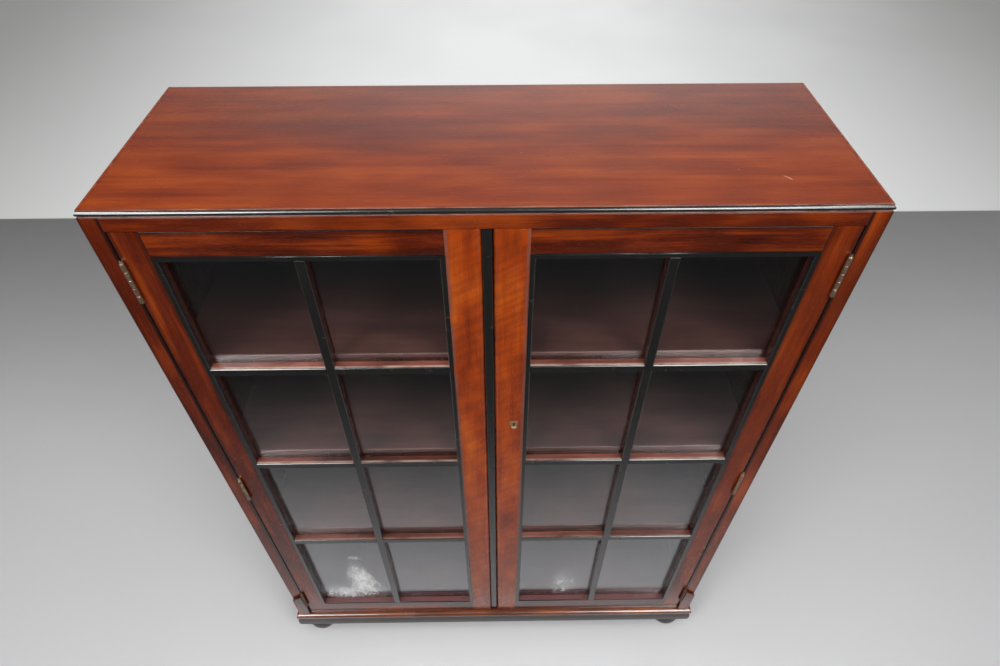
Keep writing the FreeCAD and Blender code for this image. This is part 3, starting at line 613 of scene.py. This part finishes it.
def iron():
    """Brown rusty iron."""
    finish = Finish("rusty iron", {"Metallic": 0.7})
    rust = finish.noise(finish.place, 500.0, 3.0, 0.7).rise(0.35, 0.65)
    finish.feed(Base_Color=finish.mix(rust, CLEAN_IRON, RUST), Roughness=0.45 + 0.35 * rust)
    return finish


def glass():
    """Thin old glass: clear, more of a mirror the more slanting the view, dusty and smeared low down."""
    finish = Finish("window glass", {"Specular IOR Level": 0.5})
    facing = finish.node("ShaderNodeLayerWeight", None, {"Blend": 0.5}, "Facing")
    one_face = GLASS_MIRROR + (1 - GLASS_MIRROR) * facing ** 5
    mirror = 2 * one_face / (1 + one_face)
    dust = finish.noise(finish.place, 14.0, 5.0, 0.7).rise(0.48, 0.80)
    grains = finish.specks(finish.place, 120.0, 0.0006, 0.10)
    smear = sum(share * finish.patch(centre, size) for centre, size, share in SMEARS)
    blobs = finish.noise(finish.place, (85.0, 85.0, 42.0), 6.0, 0.8)
    soft = smear.rise(0.10, 1.2)
    smear = (smear * 0.5 + blobs - 0.5).rise(0.14, 0.62) * smear.rise(0.0, 0.25)
    haze = 0.012 * dust + 0.35 * grains + 0.50 * smear + 0.24 * soft
    finish.feed(
        Base_Color=finish.mix(haze.rise(0.0, 0.3), CLEAR_GLASS, HAZY_GLASS),
        Metallic=1 - (grains + smear).rise(0.0, 0.6),
        Roughness=0.015 + 0.06 * dust + 0.3 * smear,
        Alpha=mirror + haze,
    )
    return finish


TOP = top_wood()
EBONISED = ebonised()
BAND = band()
BRASS = brass()
RUBBED_BRASS = rubbed_brass()
IRON = iron()
GLASS = glass()


def paint(name, finish):
    """Give a CAD node its finish."""
    data = nodes[name].data
    data.materials.clear()
    data.materials.append(finish.material)


def eased(name, width=ARRIS):
    """Ease the sharp arrises of a node: join its facets, bevel them and even out the shading."""
    piece = nodes[name]
    weld = piece.modifiers.new("join facets", "WELD")
    weld.merge_threshold = FACET_WELD
    bevel = piece.modifiers.new("ease arrises", "BEVEL")
    bevel.width = width
    bevel.segments = 2
    bevel.limit_method = "ANGLE"
    bevel.angle_limit = math.radians(ARRIS_ANGLE)
    piece.modifiers.new("even shading", "WEIGHTED_NORMAL")


BAND_NODES = [n for n in nodes if "edge_band" in n]
BLACK_NODES = [n for n in nodes if "plinth_board" in n or n.endswith("feet")]
BLACK_NODES += [n for n in nodes if n.endswith(("opening_moulding", "bar_facings"))] + ["meeting_strip"]
BRASS_NODES = ["hinge_frame_leaves", "left_door_hinge_leaves", "right_door_hinge_leaves"]
BRASS_NODES += ["lock_case", "lock_bolt", "strike_plate"]
BRASS_NODES += ["bolt_cases", "upper_bolt", "lower_bolt", "bolt_keepers"]
WOOD_NODES = {
    "base_blocks": ("Z", ROSEWOOD),
    "top_rail": ("X", ROSEWOOD),
    "bottom_rail": ("X", ROSEWOOD),
    # the back panel is painted near black, as the shade at the back of the case
    "back_panel": ("Z", DARK_INNER),
    "plinth_nosing_front": ("X", NOSING),
    "plinth_nosing_left": ("Y", NOSING),
    "plinth_nosing_right": ("Y", NOSING),
    "plinth_back_rail": ("X", PLAIN),
    "plinth_corner_blocks": ("Y", PLAIN),
}
INNER_NODES = ["shelf_upper", "shelf_middle", "shelf_lower", "bottom_board", "door_stop"]


def board_shift(number):
    """A different place in the wood for each board."""
    return (0.73 * number, 1.37 * number, 0.41 * number)


def paint_door(side, sign, number):
    """The boards of one door; sign is 1 on the right-hand door and -1 on its mirror image."""
    prefix = side + "_door_"

    def span(*places):
        return sorted(sign * place for place in places)

    colours = AMBER if side == "right" else ROSEWOOD
    stile = wood(prefix + "hinge stile", "Z", colours, board_shift(number), spread=0.16, streaky=0.22)
    shade_edges(stile, "X", *span(opening_high.x, door_outer_x))
    blacken_side(stile, "X", sign * opening_high.x, -sign)
    paint(prefix + "hinge_stile", stile)

    meeting = meeting_wood(prefix + "meeting stile", board_shift(number + 1))
    shade_edges(meeting, "X", *span(-left_meeting_edge, opening_low.x), strength=0.35, gap_shade=0.0)
    wear_and_highlight_edges(meeting, "X", *span(-left_meeting_edge, opening_low.x))
    blacken_side(meeting, "X", sign * opening_low.x, sign)
    paint(prefix + "meeting_stile", meeting)

    top = wood(prefix + "top rail", "X", ROSEWOOD, board_shift(number + 2), spread=0.10, streaky=0.22)
    shade_edges(top, "Z", opening_high.z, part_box(prefix + "top_rail")[1].z, strength=0.5)
    blacken_side(top, "Z", opening_high.z, -1)
    paint(prefix + "top_rail", top)

    bottom = wood(
        prefix + "bottom rail", "X", ROSEWOOD, board_shift(number + 3), spread=0.10, streaky=0.22)
    shade_edges(bottom, "Z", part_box(prefix + "bottom_rail")[0].z, opening_low.z, strength=0.5)
    blacken_side(bottom, "Z", opening_low.z, 1, (DUSTY_BLACK,))
    paint(prefix + "bottom_rail", bottom)

    for name, later in (("upright_bar", 4), ("glazing_beads", 6)):
        finish = wood(prefix + name.replace("_", " "), "Z", DARK_INNER, board_shift(number + later))
        paint(prefix + name, finish)
    paint(prefix + "cross_bars", bar_wood(prefix + "cross bars", board_shift(number + 5)))


for number, (name, (along, colours)) in enumerate(WOOD_NODES.items()):
    paint(name, wood(name.replace("_", " "), along, colours, board_shift(number)))
for number, name in enumerate(INNER_NODES):
    paint(name, inner_wood(name.replace("_", " "), board_shift(number + 10)))
for number, (side, sign) in enumerate((("left", -1), ("right", 1))):
    paint(side + "_side", side_wood(side + " side", board_shift(number + 15)))
    edges = (sign * cad_side, sign * stile_inner_x)
    paint(side + "_front_stile", stile_wood(side + " front stile", board_shift(number + 17), *edges))
    paint_door(side, sign, 20 + 7 * number)
for name in BLACK_NODES:
    paint(name, EBONISED)
for name in BAND_NODES:
    paint(name, BAND)
for name in BRASS_NODES:
    paint(name, BRASS)
for name in ("left_door_panes", "right_door_panes"):
    paint(name, GLASS)
paint("top_board", TOP)
paint("escutcheon", RUBBED_BRASS)

for name in nodes:
    if name.endswith("panes"):
        continue
    thin = name.endswith(("facings", "moulding", "beads", "bars", "top_rail")) or "edge_band" in name
    eased(name, FINE_ARRIS if thin or name in BRASS_NODES else ARRIS)


# ---- Repeated pieces, grown by geometry trees on meshes of places

class Shape(Graph):
    """A geometry tree with named sizes that makes one kind of repeated piece."""

    def __init__(self, name, sizes):
        super().__init__(bpy.data.node_groups.new(name, "GeometryNodeTree"))
        face = self.tree.interface
        face.new_socket("Places", in_out="INPUT", socket_type="NodeSocketGeometry")
        face.new_socket("Geometry", in_out="OUTPUT", socket_type="NodeSocketGeometry")
        self.sizes = sizes
        self.sockets = {}
        for label, value in sizes.items():
            kind = "NodeSocketInt" if isinstance(value, int) else "NodeSocketFloat"
            self.sockets[label] = face.new_socket(label, in_out="INPUT", socket_type=kind)
        self.given = self.tree.nodes.new("NodeGroupInput")
        self.places = Value(self, self.given.outputs["Places"])

    def size(self, label):
        return Value(self, self.given.outputs[label])

    def moved(self, geometry, shift):
        return self.node("GeometryNodeTransform", None, {"Geometry": geometry, "Translation": shift})

    def joined(self, *pieces):
        return self.node("GeometryNodeJoinGeometry", None, {"Geometry": list(pieces)})

    def block(self, x, y, z):
        """A box between a low and a high limit along each axis."""
        size = self.vector(*(high - low for low, high in (x, y, z)))
        middle = self.vector(*((low + high) / 2 for low, high in (x, y, z)))
        return self.moved(self.node("GeometryNodeMeshCube", None, {"Size": size}), middle)

    def cone(self, sides, top, bottom, depth):
        """A cut cone that stands on the origin."""
        sockets = {"Vertices": sides, "Radius Top": top, "Radius Bottom": bottom, "Depth": depth}
        return self.node("GeometryNodeMeshCone", None, sockets)

    def drum(self, radius, length, edge):
        """A round pin along Z about the origin, with its two rims taken off."""
        sockets = {"Vertices": PIN_SIDES, "Radius": radius, "Depth": length - 2 * edge}
        body = self.node("GeometryNodeMeshCylinder", None, sockets)
        rim = self.cone(PIN_SIDES, radius - edge, radius, edge)
        top = self.moved(rim, self.vector(0.0, 0.0, length / 2 - edge))
        half_turn = {"Geometry": top, "Rotation": (math.pi, 0.0, 0.0)}
        return self.joined(body, top, self.node("GeometryNodeTransform", None, half_turn))

    def attribute(self, name, kind):
        sockets = {"Name": name}
        return self.node("GeometryNodeInputNamedAttribute", {"data_type": kind}, sockets, "Attribute")

    def placed(self, piece, turn):
        """The piece at each of the places, turned by a rotation."""
        sockets = {"Points": self.places, "Instance": piece, "Rotation": turn}
        return self.node("GeometryNodeInstanceOnPoints", None, sockets)

    def close(self, geometry, finish):
        """End the tree with real, painted geometry."""
        whole = self.node("GeometryNodeRealizeInstances", None, {"Geometry": geometry})
        sockets = {"Geometry": whole, "Material": finish.material}
        painted = self.node("GeometryNodeSetMaterial", None, sockets)
        end = self.tree.nodes.new("NodeGroupOutput")
        self.tree.links.new(painted.socket, end.inputs["Geometry"])


def added(name, data):
    """A new object in the scene."""
    made = bpy.data.objects.new(name, data)
    bpy.context.scene.collection.objects.link(made)
    return made


def welded(name):
    """The mesh of a node, open to edits, with the corners of its facets joined."""
    mesh = bmesh.new()
    mesh.from_mesh(nodes[name].data)
    bmesh.ops.remove_doubles(mesh, verts=mesh.verts, dist=FACET_WELD)
    return mesh


def places_mesh(name, points, attribute=None, kind="FLOAT", values=()):
    """Loose points, with one value each of an attribute."""
    data = bpy.data.meshes.new(name)
    data.from_pydata([tuple(point) for point in points], [], [])
    if attribute:
        layer = data.attributes.new(attribute, kind, "POINT")
        for item, value in zip(layer.data, values):
            setattr(item, "vector" if kind == "FLOAT_VECTOR" else "value", value)
    return data


def grown(shape, name, places, body, replaced=(), sharp=30):
    """Run a geometry tree on its places and keep the result as one plain piece of a body."""
    worker = added(name + "_places", places)
    modifier = worker.modifiers.new(name, "NODES")
    modifier.node_group = shape.tree
    for label, value in shape.sizes.items():
        modifier[shape.sockets[label].identifier] = value
    ready = worker.evaluated_get(bpy.context.evaluated_depsgraph_get())
    data = bpy.data.meshes.new_from_object(ready)
    bpy.data.objects.remove(worker)
    mesh = bmesh.new()
    mesh.from_mesh(data)
    bmesh.ops.remove_doubles(mesh, verts=mesh.verts, dist=FINE_WELD)
    for face in mesh.faces:
        face.smooth = True
    for edge in mesh.edges:
        edge.smooth = edge.calc_face_angle(0.0) < math.radians(sharp)
    mesh.to_mesh(data)
    mesh.free()
    piece = added(name, data)
    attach(piece, body)
    if replaced:
        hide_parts(*replaced)


def solids(name):
    """The (lowest, highest) corners of each separate solid of a node, in order of height."""
    mesh = welded(name)
    boxes = []
    seen = set()
    for first in mesh.verts:
        if first in seen:
            continue
        seen.add(first)
        solid = [first]
        for vertex in solid:
            others = {edge.other_vert(vertex) for edge in vertex.link_edges} - seen
            seen |= others
            solid.extend(others)
        low = Vector(min(v.co[axis] for v in solid) for axis in range(3))
        high = Vector(max(v.co[axis] for v in solid) for axis in range(3))
        boxes.append((low, high))
    mesh.free()
    return sorted(boxes, key=lambda box: (round(box[0].z, 5), box[0].x))


HINGE_BOXES = solids("hinge_frame_leaves")
KNUCKLE_RADIUS = (front_y - HINGE_BOXES[0][0].y - KNUCKLE_STAND_OFF) / 2
ROLL_RADIUS = ROLL_SHARE * KNUCKLE_RADIUS
HINGE_LENGTH = HINGE_BOXES[0][1].z - HINGE_BOXES[0][0].z
LEAF_BACK = HINGE_BOXES[0][1].y
AXIS_Y = HINGE_BOXES[0][0].y + KNUCKLE_RADIUS
AXIS_X = HINGE_BOXES[-1][0].x + KNUCKLE_RADIUS


def hinge_half(name, leaf_x, first, count, pins):
    """One half of a butt hinge: a leaf over the span leaf_x from the pin, and every second knuckle."""
    shape = Shape(name, {
        "Length": HINGE_LENGTH,
        "Knuckle Radius": ROLL_RADIUS,
        "Knuckle Pitch": HINGE_LENGTH / KNUCKLES,
        "Knuckle Gap": KNUCKLE_GAP,
        "First Knuckle": first,
        "Knuckles": count,
        "Leaf Near": leaf_x[0],
        "Leaf Far": leaf_x[1],
        "Leaf Back": LEAF_BACK - AXIS_Y,
    })
    radius, pitch = shape.size("Knuckle Radius"), shape.size("Knuckle Pitch")
    near, far = shape.size("Leaf Near"), shape.size("Leaf Far")
    thickness = far - near
    half_roll = (pitch - shape.size("Knuckle Gap")) / 2
    roll = shape.drum(radius, 2 * half_roll, KNUCKLE_RIM)
    rolled = (-half_roll, half_roll)
    neck = shape.block((0.0, far), (radius - thickness, radius), rolled)
    riser = shape.block((far - thickness, far), (radius - thickness, radius + RISER_LAP), rolled)
    start = (shape.size("First Knuckle") + 0.5) * pitch - shape.size("Length") / 2
    line = shape.node("GeometryNodeMeshLine", None, {
        "Count": shape.size("Knuckles"),
        "Start Location": shape.vector(0.0, 0.0, start),
        "Offset": shape.vector(0.0, 0.0, 2 * pitch),
    })
    sockets = {"Points": line, "Instance": shape.joined(roll, neck, riser)}
    knuckles = shape.node("GeometryNodeInstanceOnPoints", None, sockets)
    half = shape.size("Length") / 2
    leaf = shape.block((near, far), (radius + KNUCKLE_STAND_OFF, shape.size("Leaf Back")), (-half, half))
    parts = [knuckles, leaf]
    if pins:
        cap = shape.drum(PIN_CAP_RADIUS, 2 * PIN_CAP_HEIGHT, PIN_CAP_HEIGHT / 2)
        parts += [shape.moved(cap, shape.vector(0.0, 0.0, end)) for end in (half, -half)]
    turn = shape.vector(0.0, shape.attribute("turn", "FLOAT"), 0.0)
    shape.close(shape.placed(shape.joined(*parts), turn), BRASS)
    return shape


def hinges():
    """Five-knuckle butt hinges for the plainer ones; a half turn about Y gives the left-hand ones."""
    heights = [(low.z + high.z) / 2 for low, high in HINGE_BOXES if low.x > 0]
    frame_leaf = (stile_inner_x - AXIS_X, HINGE_BOXES[-1][1].x - AXIS_X)
    thickness = frame_leaf[1] - frame_leaf[0]
    door_leaf = (door_outer_x - thickness - AXIS_X, door_outer_x - AXIS_X)
    frame_half = hinge_half("frame hinge half", frame_leaf, 0, 3, True)
    door_half = hinge_half("door hinge half", door_leaf, 1, 2, False)
    right = [(AXIS_X, AXIS_Y, z) for z in heights]
    left = [(-AXIS_X, AXIS_Y, z) for z in heights]
    turned = [math.pi] * len(heights)
    straight = [0.0] * len(heights)
    everywhere = places_mesh("frame hinge places", right + left, "turn", "FLOAT", straight + turned)
    on_right = places_mesh("right hinge places", right, "turn", "FLOAT", straight)
    on_left = places_mesh("left hinge places", left, "turn", "FLOAT", turned)
    grown(frame_half, "frame_hinge_halves", everywhere, "carcase", ["hinge_frame_leaves"])
    grown(door_half, "right_hinge_halves", on_right, "right_door", ["right_door_hinge_leaves"])
    grown(door_half, "left_hinge_halves", on_left, "left_door", ["left_door_hinge_leaves"])
    return heights


def screw_head():
    """A slotted countersunk head, sunk in but for its rim, turned at random."""
    sizes = {"Radius": SCREW_RADIUS, "Height": SCREW_HEIGHT, "Stand": SCREW_STAND, "Seed": SCREW_SEED}
    shape = Shape("slotted screw", sizes)
    radius, height, stand, seed = (shape.size(label) for label in sizes)
    face = shape.cone(SCREW_SIDES, radius * SCREW_FACE, radius, stand)
    shank = shape.cone(SCREW_SIDES, radius, radius * SCREW_POINT, height)
    sunk = shape.moved(shank, shape.vector(0.0, 0.0, -height))
    long, wide = radius * 1.1, radius * SLOT_WIDTH
    slot = shape.block((-long, long), (-wide, wide), (-height * SLOT_DEPTH, stand * 2))
    cut = {"Mesh 1": shape.joined(face, sunk), "Mesh 2": [slot]}
    head = shape.node("GeometryNodeMeshBoolean", {"operation": "DIFFERENCE"}, cut, "Mesh")
    outward = shape.attribute("outward", "FLOAT_VECTOR")
    facing = shape.node("FunctionNodeAlignRotationToVector", {"axis": "Z"}, {"Vector": outward})
    spin = {2: 0.0, 3: math.pi, "Seed": seed}
    angle = shape.node("FunctionNodeRandomValue", {"data_type": "FLOAT"}, spin, 1)
    about = {"Axis": (0.0, 0.0, 1.0), "Angle": angle}
    twist = shape.node("FunctionNodeAxisAngleToRotation", None, about)
    turned = {"Rotation": facing, "Rotate By": twist}
    turn = shape.node("FunctionNodeRotateRotation", {"rotation_space": "LOCAL"}, turned)
    shape.close(shape.placed(head, turn), BRASS)
    return shape


def screws(heights):
    """The screws of hinges, lock, strike plate, bolts and keepers."""
    places = {"carcase": [], "left_door": [], "right_door": []}
    leaf_y = (AXIS_Y + KNUCKLE_RADIUS + LEAF_BACK) / 2
    for z in heights:
        for step in (-1, 0, 1):
            y = leaf_y + HINGE_SCREW_STAGGER * abs(step)
            height = z + step * HINGE_SCREW_PITCH
            for sign, body in ((-1, "left_door"), (1, "right_door")):
                places["carcase"].append(((sign * stile_inner_x, y, height), (-sign, 0, 0)))
                places[body].append(((sign * door_outer_x, y, height), (sign, 0, 0)))
    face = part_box("left_door_meeting_stile")[1].y + BOLT_PLATE_THICKNESS
    for low, high in solids("bolt_cases"):
        middle = (low.x + high.x) / 2
        for x in (middle - BOLT_SCREW_SPREAD, middle + BOLT_SCREW_SPREAD):
            for z in (low.z + PLATE_SCREW_INSET, high.z - PLATE_SCREW_INSET):
                places["left_door"].append(((x, face, z), (0, 1, 0)))
    for (low, high), up in zip(solids("bolt_keepers"), (1, -1)):
        middle = (low + high) / 2
        level = high.z if up > 0 else low.z
        for x in (middle.x - BOLT_SCREW_SPREAD, middle.x + BOLT_SCREW_SPREAD):
            places["carcase"].append(((x, middle.y, level), (0, 0, up)))
    low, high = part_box("strike_plate")
    for z in (low.z + PLATE_SCREW_INSET, high.z - PLATE_SCREW_INSET):
        places["left_door"].append(((high.x, (low.y + high.y) / 2, z), (1, 0, 0)))
    low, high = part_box("lock_case")
    for z in (low.z + PLATE_SCREW_INSET, high.z - PLATE_SCREW_INSET):
        places["right_door"].append(((low.x, high.y - LOCK_PLATE_MIDDLE, z), (-1, 0, 0)))
    head = screw_head()
    for body, entries in places.items():
        points, ways = zip(*entries)
        data = places_mesh(body + " screw places", points, "outward", "FLOAT_VECTOR", ways)
        grown(head, body + "_screws", data, body)


def brads():
    """Round nail heads along the edges of the back panel."""
    low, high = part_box("back_panel")
    left, right = low.x + BRAD_INSET, high.x - BRAD_INSET
    bottom, top = low.z + BRAD_INSET, high.z - BRAD_INSET
    across = round((right - left) / BRAD_SPACING)
    upward = round((top - bottom) / BRAD_SPACING)
    points = []
    for step in range(across + 1):
        x = left + (right - left) * step / across
        points += [(x, high.y, bottom), (x, high.y, top)]
    for step in range(1, upward):
        z = bottom + (top - bottom) * step / upward
        points += [(left, high.y, z), (right, high.y, z)]
    shape = Shape("brad head", {"Radius": BRAD_RADIUS})
    round_head = {"Segments": BRAD_SIDES, "Rings": BRAD_SIDES // 2, "Radius": shape.size("Radius")}
    ball = shape.node("GeometryNodeMeshUVSphere", None, round_head)
    pressed = {"Geometry": ball, "Scale": (1.0, BRAD_FLATNESS, 1.0)}
    flat = shape.node("GeometryNodeTransform", None, pressed)
    shape.close(shape.placed(flat, (0.0, 0.0, 0.0)), IRON)
    data = places_mesh("brad places", points)
    grown(shape, "back_brads", data, "carcase", sharp=80)


def wavy_panes(side):
    """The panes of one door as old drawn glass, which waves a little out of its plane."""
    name = side + "_door_panes"
    mesh = welded(name)
    bmesh.ops.dissolve_limit(mesh, angle_limit=0.01, verts=mesh.verts, edges=mesh.edges)
    data = bpy.data.meshes.new(name + " plain")
    mesh.to_mesh(data)
    mesh.free()
    sizes = {"Wave": PANE_WAVE, "Waves per Metre": PANE_WAVES, "Divisions": PANE_DIVISIONS}
    shape = Shape("wavy panes", sizes)
    fine = {"Mesh": shape.places, "Level": shape.size("Divisions")}
    divided = shape.node("GeometryNodeSubdivideMesh", None, fine)
    place = shape.node("GeometryNodeInputPosition")
    in_plane = shape.vector_maths("MULTIPLY", place, PANE_STRETCH)
    sockets = {"Vector": in_plane, "Scale": shape.size("Waves per Metre"), "Detail": 1.0}
    noise = shape.node("ShaderNodeTexNoise", None, sockets, "Fac")
    push = shape.vector(0.0, (noise - 0.5) * shape.size("Wave") * 2, 0.0)
    waved = shape.node("GeometryNodeSetPosition", None, {"Geometry": divided, "Offset": push})
    shape.close(waved, GLASS)
    grown(shape, side + "_wavy_panes", data, side + "_door", [name])


def arc(radius, height, start, sweep):
    """Points on an arc about a centre at a height, from one angle through another."""
    angles = [start + sweep * step / ARC_STEPS for step in range(ARC_STEPS + 1)]
    return [(radius * math.cos(angle), radius * math.sin(angle) + height) for angle in angles]


def escutcheon():
    """A tapered shield of thin brass round the keyhole, in place of the plain oval."""
    low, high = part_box("escutcheon")
    centre = (low + high) / 2
    top_x, foot_x, half_z = ESCUTCHEON_TOP / 2, ESCUTCHEON_FOOT / 2, ESCUTCHEON_HEIGHT / 2
    shoulder = half_z * SHOULDER
    outline = [(-top_x, half_z), (-top_x, shoulder), *arc(foot_x, foot_x - half_z, math.pi, math.pi)]
    outline += [(top_x, shoulder), (top_x, half_z)]
    start = -KEYHOLE_START * math.pi
    hole = arc(KEYHOLE_RADIUS, half_z * KEYHOLE_RISE, start, math.pi - 2 * start)
    hole += [(-KEYHOLE_SLOT / 2, -KEYHOLE_DROP), (KEYHOLE_SLOT / 2, -KEYHOLE_DROP)]
    mesh = bmesh.new()
    loops = []
    for points in (outline, hole):
        corners = [mesh.verts.new((centre.x + x, front_y, centre.z + z)) for x, z in points]
        loops += [mesh.edges.new((a, b)) for a, b in zip(corners, corners[1:] + corners[:1])]
    bmesh.ops.triangle_fill(mesh, use_beauty=True, use_dissolve=False, edges=loops)
    solid = bmesh.ops.extrude_face_region(mesh, geom=list(mesh.faces))
    moved = [item for item in solid["geom"] if isinstance(item, bmesh.types.BMVert)]
    bmesh.ops.translate(mesh, vec=(0, low.y - front_y, 0), verts=moved)
    bmesh.ops.recalc_face_normals(mesh, faces=mesh.faces)
    data = bpy.data.meshes.new("escutcheon_shield")
    mesh.to_mesh(data)
    mesh.free()
    data.materials.append(RUBBED_BRASS.material)
    piece = added("escutcheon_shield", data)
    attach(piece, "right_door")
    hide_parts("escutcheon")


hinge_heights = hinges()
escutcheon()
screws(hinge_heights)
brads()
wavy_panes("left")
wavy_panes("right")


# ---- Room, light and camera

# the floor's colour falls from near to far as painted shade
NEAR_FLOOR = (0.60, 0.60, 0.612)
MIDDLE_FLOOR = (0.575, 0.575, 0.58)
FAR_FLOOR = (0.31, 0.31, 0.308)
PALE_GROUND = (0.62, 0.63, 0.61)
NO_GLOW = (0.0, 0.0, 0.0)
MIDDLE_GLOW = (0.57, 0.575, 0.58)
FAR_GLOW = (0.11, 0.11, 0.108)
# the dark sheet that shows only in reflections, as a painted dark reflection
DARK_REFLECTION_FLAG = ((0.012, 0.012, 0.012), (0.020, 0.020, 0.020))
FLAG_COVER = 0.96


def sheet_of(name, size, height, finish):
    """A flat square at a height."""
    data = bpy.data.meshes.new(name)
    half = size / 2
    corners = [(-half, -half, height), (half, -half, height), (half, half, height), (-half, half, height)]
    data.from_pydata(corners, [], [(0, 1, 2, 3)])
    data.materials.append(finish.material)
    made = added(name, data)
    return made


def floor():
    """A plain floor, painted greyer towards the back as shade and paler on the right as light, that turns
    paler behind the bookcase, where it glows as painted light.
    """
    finish = Finish("floor paint", {"Specular IOR Level": 0.3, "Emission Strength": 1.0})
    away = finish.at("Y")
    aside = abs(finish.at("X") - 0.15)
    behind = away.rise(WALL_DISTANCE - WALL_BLEND, WALL_DISTANCE + WALL_BLEND)
    cloud = finish.noise(finish.place, 1.5, 3.0).rise(0.3, 0.7)
    # painted shade towards the back, and painted light on the right
    painted_light_right = 0.17 * finish.at("X").rise(0.5, 1.5)
    tone = (away + 0.5) / 2.3 + 0.04 * cloud - painted_light_right
    ground = finish.ramp(tone, (0.0, NEAR_FLOOR), (0.45, MIDDLE_FLOOR), (1.0, FAR_FLOOR))
    # painted light: the ground behind glows, fading sideways
    glow = finish.mix(aside.rise(0.0, 4.0), MIDDLE_GLOW, FAR_GLOW)
    finish.feed(
        Base_Color=finish.mix(behind, ground, PALE_GROUND),
        Emission_Color=finish.mix(behind, NO_GLOW, glow),
        Roughness=0.34 + 0.22 * cloud,
    )
    sheet_of("floor", FLOOR_SIZE, 0.0, finish)


def flag():
    """A dark sheet on the floor in front, which shows only in what the polish and the glass reflect: a
    painted dark reflection.
    """
    finish = Finish("flag cloth", {"Roughness": 1.0, "Specular IOR Level": 0.0})
    away = finish.at("Y")
    weave = finish.noise(finish.place, 40.0)
    finish.feed(
        Base_Color=finish.mix(weave, *DARK_REFLECTION_FLAG),
        Alpha=FLAG_COVER * (1 - away.rise(FLAG_FULL, FLAG_START)),
    )
    made = sheet_of("flag", FLOOR_SIZE / 2, FLAG_HEIGHT, finish)
    made.visible_camera = False
    made.visible_diffuse = False
    made.visible_shadow = False


def soft_box(name, place, aim, size, power, diffuse=True, glossy=True):
    """A large soft light that shines on a point; diffuse or glossy off leaves out that part of it."""
    data = bpy.data.lights.new(name, "AREA")
    data.shape = "RECTANGLE"
    data.size, data.size_y = size
    data.energy = power
    made = added(name, data)
    made.location = place
    made.rotation_euler = (Vector(aim) - Vector(place)).to_track_quat("-Z", "Y").to_euler()
    made.visible_diffuse = diffuse
    made.visible_glossy = glossy


def sky():
    """The light of the room: dim all round, with a paler ceiling and a bright wall behind the bookcase."""
    world = bpy.data.worlds.new("studio")
    world.use_nodes = True
    graph = Graph(world.node_tree)
    direction = graph.node("ShaderNodeTexCoord", output="Generated")
    nearness = graph.vector_maths("DOT_PRODUCT", direction, WALL_DIRECTION, output="Value")
    wall = ((nearness - 0.5) / 0.48).maths("MAXIMUM", 0.0) ** 4
    ceiling = graph.axis(direction, "Z").rise(0.60, 0.82)
    strength = ROOM_LIGHT + CEILING_LIGHT * ceiling + WALL_LIGHT * wall * (1 - ceiling)
    background = world.node_tree.nodes["Background"]
    background.inputs["Color"].default_value = (1.0, 1.0, 1.0, 1.0)
    world.node_tree.links.new(strength.socket, background.inputs["Strength"])
    bpy.context.scene.world = world


def camera():
    """The camera, turned down, a little to the right and rolled a trifle."""
    down, right, roll = (math.radians(a) for a in (CAMERA_DOWN, CAMERA_RIGHT, CAMERA_ROLL))
    ahead = Vector((math.sin(right) * math.cos(down), math.cos(right) * math.cos(down), -math.sin(down)))
    level = Vector((math.cos(right), -math.sin(right), 0.0))
    upward = level.cross(ahead)
    across = level * math.cos(roll) + upward * math.sin(roll)
    above = upward * math.cos(roll) - level * math.sin(roll)
    data = bpy.data.cameras.new("camera")
    data.lens = CAMERA_LENS
    data.sensor_width = SENSOR_WIDTH
    made = added("camera", data)
    turned = Matrix((across, above, -ahead)).transposed().to_4x4()
    made.matrix_world = Matrix.Translation(CAMERA_PLACE) @ turned
    bpy.context.scene.camera = made


floor()
flag()
sky()
soft_box("left softbox", (-1.55, -1.85, 2.7), (0, 0, 1.0), (1.1, 1.1), 36)
soft_box("right softbox", (1.35, -1.85, 2.7), (0, 0, 1.0), (1.1, 1.1), 34)
soft_box("overhead softbox", (-0.05, -0.9, 2.9), (-0.05, -0.9, 0), (2.6, 2.4), 58, glossy=False)
soft_box("left strip light", (-1.33, -1.85, 2.9), (-1.33, -1.85, 0), (0.71, 3.5), 150, diffuse=False)
soft_box("right strip light", (1.01, -1.85, 2.9), (1.01, -1.85, 0), (0.80, 3.5), 165, diffuse=False)
soft_box("left window", (-2.13, -3.6, 2.15), (-2.13, 0, 2.15), (1.13, 1.5), 100, diffuse=False)
soft_box("right window", (1.62, -3.6, 2.15), (1.62, 0, 2.15), (1.25, 1.5), 110, diffuse=False)
camera()
bpy.context.scene.view_settings.view_transform = "Standard"
